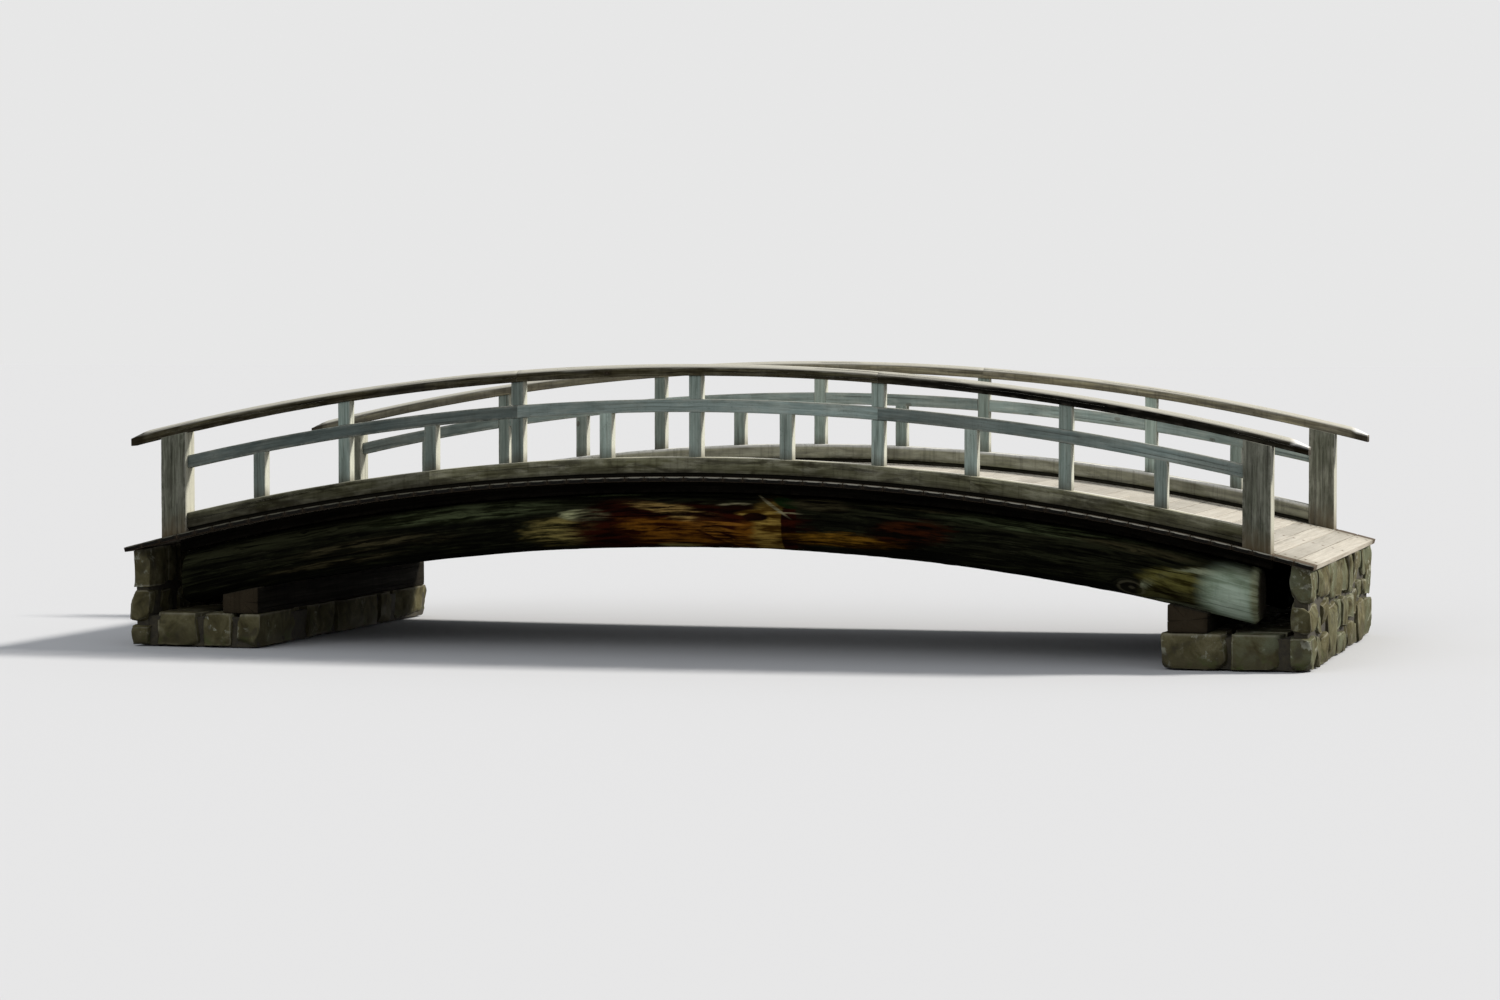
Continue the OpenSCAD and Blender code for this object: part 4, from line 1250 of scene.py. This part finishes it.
# detail, roughness, distortion and scale of each noise
stoneNoise = {"mottle": (7.0, 0.6, 0.6, 6.5), "coarse": (4.0, 0.6, 0.2, 1.6), "grit": (3.0, 0.7, 0.0, 130.0),
              "spots": (5.0, 0.7, 0.3, 11.0), "moss": (5.0, 0.65, 0.0, 7.0)}
stone, tree, shader = newMaterial("splitFieldStone")
where, tone = surfaceOf(tree), attributeOut(tree, "tone")
mottle, coarse, grit, spots, moss = (noiseOut(tree, where, *settings) for settings in stoneNoise.values())
wet = useGroup(tree, dampFoot, {"Low": 0.0, "High": 0.2})["Mask"]
colour = ramp(tree, mottle, stoneLook["stops"])
greyer = mixColour(tree, spread(tree, mottle, 0.35, 0.62), colour, mixColour(tree, 0.75, colour, stoneLook["grey"]))
colour = paintOver(tree, colour, [
    (spread(tree, tone, 0.3, 0.85), 1, greyer),
    (spread(tree, grit, 0.42, 0.75), 0.55, stoneLook["grit"]),
    (times(tree, spread(tree, spots, 0.56, 0.64), spread(tree, coarse, 0.45, 0.58)), 0.7, stoneLook["lichen"]),
    (spread(tree, attributeOut(tree, "arris"), 0.2, 1.0), 0.45, stoneLook["worn"]),
    (spread(tree, attributeOut(tree, "hollow"), 0.45, 1.0), 0.75, stoneLook["dirt"]),
    (wet, 0.75, stoneLook["damp"]),
    (times(tree, spread(tree, moss, 0.52, 0.64), wet), 0.7, stoneLook["moss"]),
])
plug(tree, shader.inputs, {
    "Base Color": shaded(tree, colour, spread(tree, tone, 0.0, 1.0, 0.92, 1.12)),
    "Roughness": spread(tree, wet, 0.0, 1.0, 0.92, 0.62), "Specular IOR Level": stoneLook["gloss"],
    "Normal": bumpOut(tree, plus(tree, mottle, times(tree, grit, 0.22)), 0.9, 0.014)})

heartingStops = [(0.35, (0.016, 0.013, 0.007)), (0.65, (0.052, 0.044, 0.026))]
mortar, tree, shader = newMaterial("earthHearting")
lime = noiseOut(tree, surfaceOf(tree), 5.0, 0.65, 0.0, 26.0)
plug(tree, shader.inputs, {"Base Color": ramp(tree, lime, heartingStops), "Normal": bumpOut(tree, lime, 0.8, 0.006),
                           "Roughness": spread(tree, lime, 0.3, 0.7, 0.85, 0.97)})


def boxGrid(size, spacing):    # points of a grid on a unit box, and its quads
    cuts = np.maximum(3, np.round(size / spacing).astype(int))
    corners = []
    for axis in range(3):
        u, v = (axis + 1) % 3, (axis + 2) % 3
        i, j = (m.ravel() for m in np.meshgrid(np.arange(cuts[u]), np.arange(cuts[v]), indexing="ij"))
        for level in (0, cuts[axis]):
            loop = []
            for di, dj in ((0, 0), (1, 0), (1, 1), (0, 1)):
                key = np.zeros((len(i), 3), int)
                key[:, axis], key[:, u], key[:, v] = level, i + di, j + dj
                loop.append(key)
            corners.append(np.stack(loop if level else loop[::-1], axis=1))
    keys, index = np.unique(np.concatenate(corners).reshape(-1, 3), axis=0, return_inverse=True)
    return keys / cuts, index.reshape(-1, 4)


# how a stone is worked, and what the hidden core between the stones has instead
dressed = {"rounding": 0.02, "spacing": 0.028, "warp": 0.016, "split": 0.04, "rough": 0.014, "dome": 0.006}
filling = {"rounding": 0.01, "spacing": 0.045, "warp": 0.0, "split": 0.004, "rough": 0.03, "dome": 0.0}


def cloudAt(p, length, seed, octaves):
    return layeredNoise(p[:, 0] / length, p[:, 1] / length, p[:, 2] / length, seed, octaves)


def stoneBlock(low, high, seed, face=0, work=dressed, flatTop=0.9, tone=None, material=0):
    low, high = np.array(low, float), np.array(high, float)
    rng = np.random.default_rng(seed)
    size = high - low
    share, quads = boxGrid(size, work["spacing"])
    p = low + share * size
    rounding = min(work["rounding"] * rng.uniform(0.7, 1.4), size.min() * 0.46)
    split, rough = min(work["split"], size.min() * 0.14), min(work["rough"], size.min() * 0.07)
    inner = np.clip(p, low + rounding, high - rounding)
    away = p - inner
    away /= np.maximum(np.linalg.norm(away, axis=1), 1e-9)[:, None]
    p = inner + away * rounding
    edge = np.sort(np.minimum(np.abs(p - low), np.abs(high - p)), axis=1)[:, 1]
    for corner in np.ndindex(2, 2, 2):    # knock each corner in a little
        corner = np.array(corner)
        weight = np.prod(np.where(corner, share, 1 - share), axis=1)
        knock = weight[:, None] * (1 - 2 * corner) * rng.uniform(0, 1, 3)
        p = p + knock * np.minimum(work["warp"], size * 0.16)
    # the outer faces swell towards their middle
    bulge = ((2 * share - 1) ** 2)[:, [k for k in range(3) if k != face]].sum(axis=1)
    p[:, face] += (1 - 2 * share[:, face]) * work["dome"] * rng.uniform(0.5, 1.2) * bulge
    for k in range(18):    # 6 split faces, then 12 knocked-off edges
        n = rng.normal(size=3)
        if k < 6:
            n = 0.16 * n
            n[face] += rng.choice((-1, 1))
        n /= np.linalg.norm(n)
        reach = p @ n
        depth = rng.uniform(0.2, 1.0 if k < 6 else 1.1) * split
        p = p - np.maximum(0, reach - (reach.max() - depth))[:, None] * n
    chips = cloudAt(p, 0.13, seed, 4)
    pits = np.clip(cloudAt(p, 0.05, seed + 7, 2) - 0.55, 0, 1) * 2.2
    p = p - away * (rough * (chips + 0.7 * pits))[:, None]
    bed = np.where(share[:, 2] > 0.999, flatTop, 0.0)
    p[:, 2] = p[:, 2] * (1 - bed) + (high[2] - 0.004 * chips) * bed
    values = {"tone": np.full(len(p), rng.random() if tone is None else tone),
              "hollow": np.clip(1.6 * chips - 0.5 + pits, 0, 1), "arris": np.exp(-(edge / (0.5 * rounding)) ** 2)}
    return {"points": np.clip(p, low, high), "quads": quads, "fan": [], "material": material, "values": values}


def cutUp(low, high, largest, smallest, rng):    # a rectangle cut again and again into uneven ones
    size = [high[k] - low[k] for k in (0, 1)]
    limits = [largest[k] * rng.uniform(0.75, 1.15) for k in (0, 1)]
    able = [k for k in (0, 1) if size[k] > limits[k] and size[k] > 2.1 * smallest]
    if not able:
        return [(low, high)]
    axis = max(able, key=lambda k: size[k] / limits[k])
    at = low[axis] + max(smallest, size[axis] * rng.uniform(0.34, 0.5)) * (1 if rng.random() < 0.5 else -1)
    at = at if at > low[axis] else at + size[axis]
    middleHigh, middleLow = list(high), list(low)
    middleHigh[axis] = middleLow[axis] = at
    return cutUp(low, middleHigh, largest, smallest, rng) + cutUp(middleLow, high, largest, smallest, rng)


def bendJoints(p, axes, low, high, seed):
    # wavy joints, the same for the stones on both sides, straight along the outside
    length, fade = stoneWork["bendLength"], stoneWork["bendFade"]
    room = [np.clip(np.minimum(p[:, k] - low[i], high[i] - p[:, k]) / fade, 0, 1) for i, k in enumerate(axes)]
    for i, k in enumerate(axes):
        push = layeredNoise(p[:, axes[0]] / length, p[:, axes[1]] / length, 0.5, seed + 31 * i, 2) - 0.5
        p[:, k] += stoneWork["bend"] * 2 * push * room[i]


# the left ledge is of long tan stones, the right one of smaller and greyer ones
ledgeWork = {"left": {"seed": 17, "largest": (0.62, 1.25), "tones": (0.0, 0.45)},
             "right": {"seed": 29, "largest": (0.55, 0.72), "tones": (0.25, 1.0)}}

print("stone abutments")
for end, work in ledgeWork.items():
    rng = np.random.default_rng(work["seed"])
    inner, wall, outer, reach, ledge = (stoneWork[key] for key in ("inner", "wall", "outer", "reach", "ledge"))
    gap, core, top = stoneWork["joint"] / 2, stoneWork["recess"], float(arcZ(arch["boardUnder"], outer))
    made = []

    def addStone(low, high, tones=work["tones"], **shape):
        # leave half a joint on each side that isn't the outside of the abutment
        limits = ((inner, outer), (-reach, reach), (0.0, high[2]))
        low = [v + (gap if v > limit[0] + 1e-6 else 0) for v, limit in zip(low, limits)]
        high = [v - (gap if v < limit[1] - 1e-6 else 0) for v, limit in zip(high, limits)]
        made.append(stoneBlock(low, high, int(rng.integers(1, 99999)), tone=rng.uniform(*tones), **shape))
        return made[-1]["points"]

    low0, high0 = (inner, -reach), (wall, reach)
    for low, high in cutUp(low0, high0, work["largest"], stoneWork["smallest"], rng):
        p = addStone((*low, 0), (*high, ledge), face=0 if low[0] < inner + 0.01 else 1)
        bendJoints(p, (0, 1), low0, high0, work["seed"])
    # the wall behind, under the boards' ends
    low0, high0 = (-reach, 0.0), (reach, top)
    for low, high in cutUp(low0, high0, stoneWork["wallLargest"], stoneWork["wallSmallest"], rng):
        last = high[1] == top
        p = addStone((wall, *low), (outer, high[0], high[1] - (0 if last else gap)), flatTop=0.8 if last else 0.0)
        bendJoints(p, (1, 2), low0, high0, work["seed"] + 5)
        # the topmost stones follow the boards that they carry
        p[:, 2] += (arcZ(arch["boardUnder"], p[:, 0]) + bedding - top) * np.clip(p[:, 2] / top, 0, 1) ** 4
    near, far = -reach + core, reach - core
    made.append(stoneBlock((inner + core, near, 0), (outer - core, far, ledge - 0.03), 5, work=filling, material=1))
    made.append(stoneBlock((wall + core, near, 0.1), (outer - core, far, top - 0.02), 6, work=filling, material=1))
    if end == "left":
        for part in made:
            part["points"] = part["points"] * (-1, 1, 1)
    makePiece(f"{end}AbutmentStones", made, [stone, mortar], [f"{end}_abutment"], sharp=50)


# floor, lights and camera

studio = {"floorSeen": (0.626, 0.631, 0.645), "floorBounce": (0.16, 0.16, 0.16), "floorHalf": 300, "floorDrop": 0.001,
          "backdrop": (0.8, 0.8, 0.8), "sky": (0.93, 0.96, 1.0), "ambient": 0.44}
# direction to each lamp, strength, softness in degrees, colour
lamps = {"key": ((0.85, 0.33, 0.66), 4.2, 9.0, (1.0, 0.965, 0.91)),
         "fill": ((-0.25, -0.85, 0.45), 0.6, 40.0, (0.95, 0.97, 1.0))}
view = {"azimuth": 15.4, "distance": 30.4, "height": 2.39, "lens": 92.0, "pitch": -2.4, "turn": 0.19}

print("stage")
half = studio["floorHalf"]
floorMesh = bpy.data.meshes.new("floor")
floorMesh.from_pydata([(-half, -half, 0), (half, -half, 0), (half, half, 0), (-half, half, 0)], [], [(0, 1, 2, 3)])
floor = bpy.data.objects.new("floor", floorMesh)
floor.location.z = -studio["floorDrop"]
scene.collection.objects.link(floor)


def seenDirectly(tree):    # 1 for what the camera sees, straight or in a reflection
    path = addNode(tree, "ShaderNodeLightPath").outputs
    direct = mathOut(tree, "MAXIMUM", path["Is Camera Ray"], path["Is Glossy Ray"])
    return mathOut(tree, "MAXIMUM", direct, path["Is Transmission Ray"])


floorPaint, tree, shader = newMaterial("palePlainFloor")
grey = mixColour(tree, seenDirectly(tree), studio["floorBounce"], studio["floorSeen"])
plug(tree, shader.inputs, {"Base Color": grey, "Roughness": 0.95, "Specular IOR Level": 0.0})
floorMesh.materials.append(floorPaint)

world = bpy.data.worlds.new("studio")
scene.world = world
world.use_nodes = True
tree = world.node_tree
tree.nodes.clear()
soft = addNode(tree, "ShaderNodeBackground", {"Color": studio["sky"], "Strength": studio["ambient"]})
seen = addNode(tree, "ShaderNodeBackground", {"Color": studio["backdrop"], "Strength": 1.0})
choose = addNode(tree, "ShaderNodeMixShader", {0: seenDirectly(tree), 1: soft.outputs[0], 2: seen.outputs[0]})
addNode(tree, "ShaderNodeOutputWorld", {"Surface": choose.outputs[0]})

for name, ((x, y, z), strength, softness, colour) in lamps.items():
    lamp = bpy.data.lights.new(name, "SUN")
    lamp.energy, lamp.angle, lamp.color = strength, math.radians(softness), colour
    holder = bpy.data.objects.new(name, lamp)
    holder.rotation_euler = (math.atan2(math.hypot(x, y), z), 0, math.atan2(x, -y))
    scene.collection.objects.link(holder)

lens = bpy.data.cameras.new("camera")
lens.lens, lens.sensor_width, lens.clip_end = view["lens"], 36.0, 2000
camera = bpy.data.objects.new("camera", lens)
around = math.radians(view["azimuth"])
camera.location = (view["distance"] * math.sin(around), -view["distance"] * math.cos(around), view["height"])
camera.rotation_euler = (math.radians(90 + view["pitch"]), 0, around + math.radians(view["turn"]))
scene.collection.objects.link(camera)
scene.camera = camera
scene.view_settings.view_transform = "Standard"

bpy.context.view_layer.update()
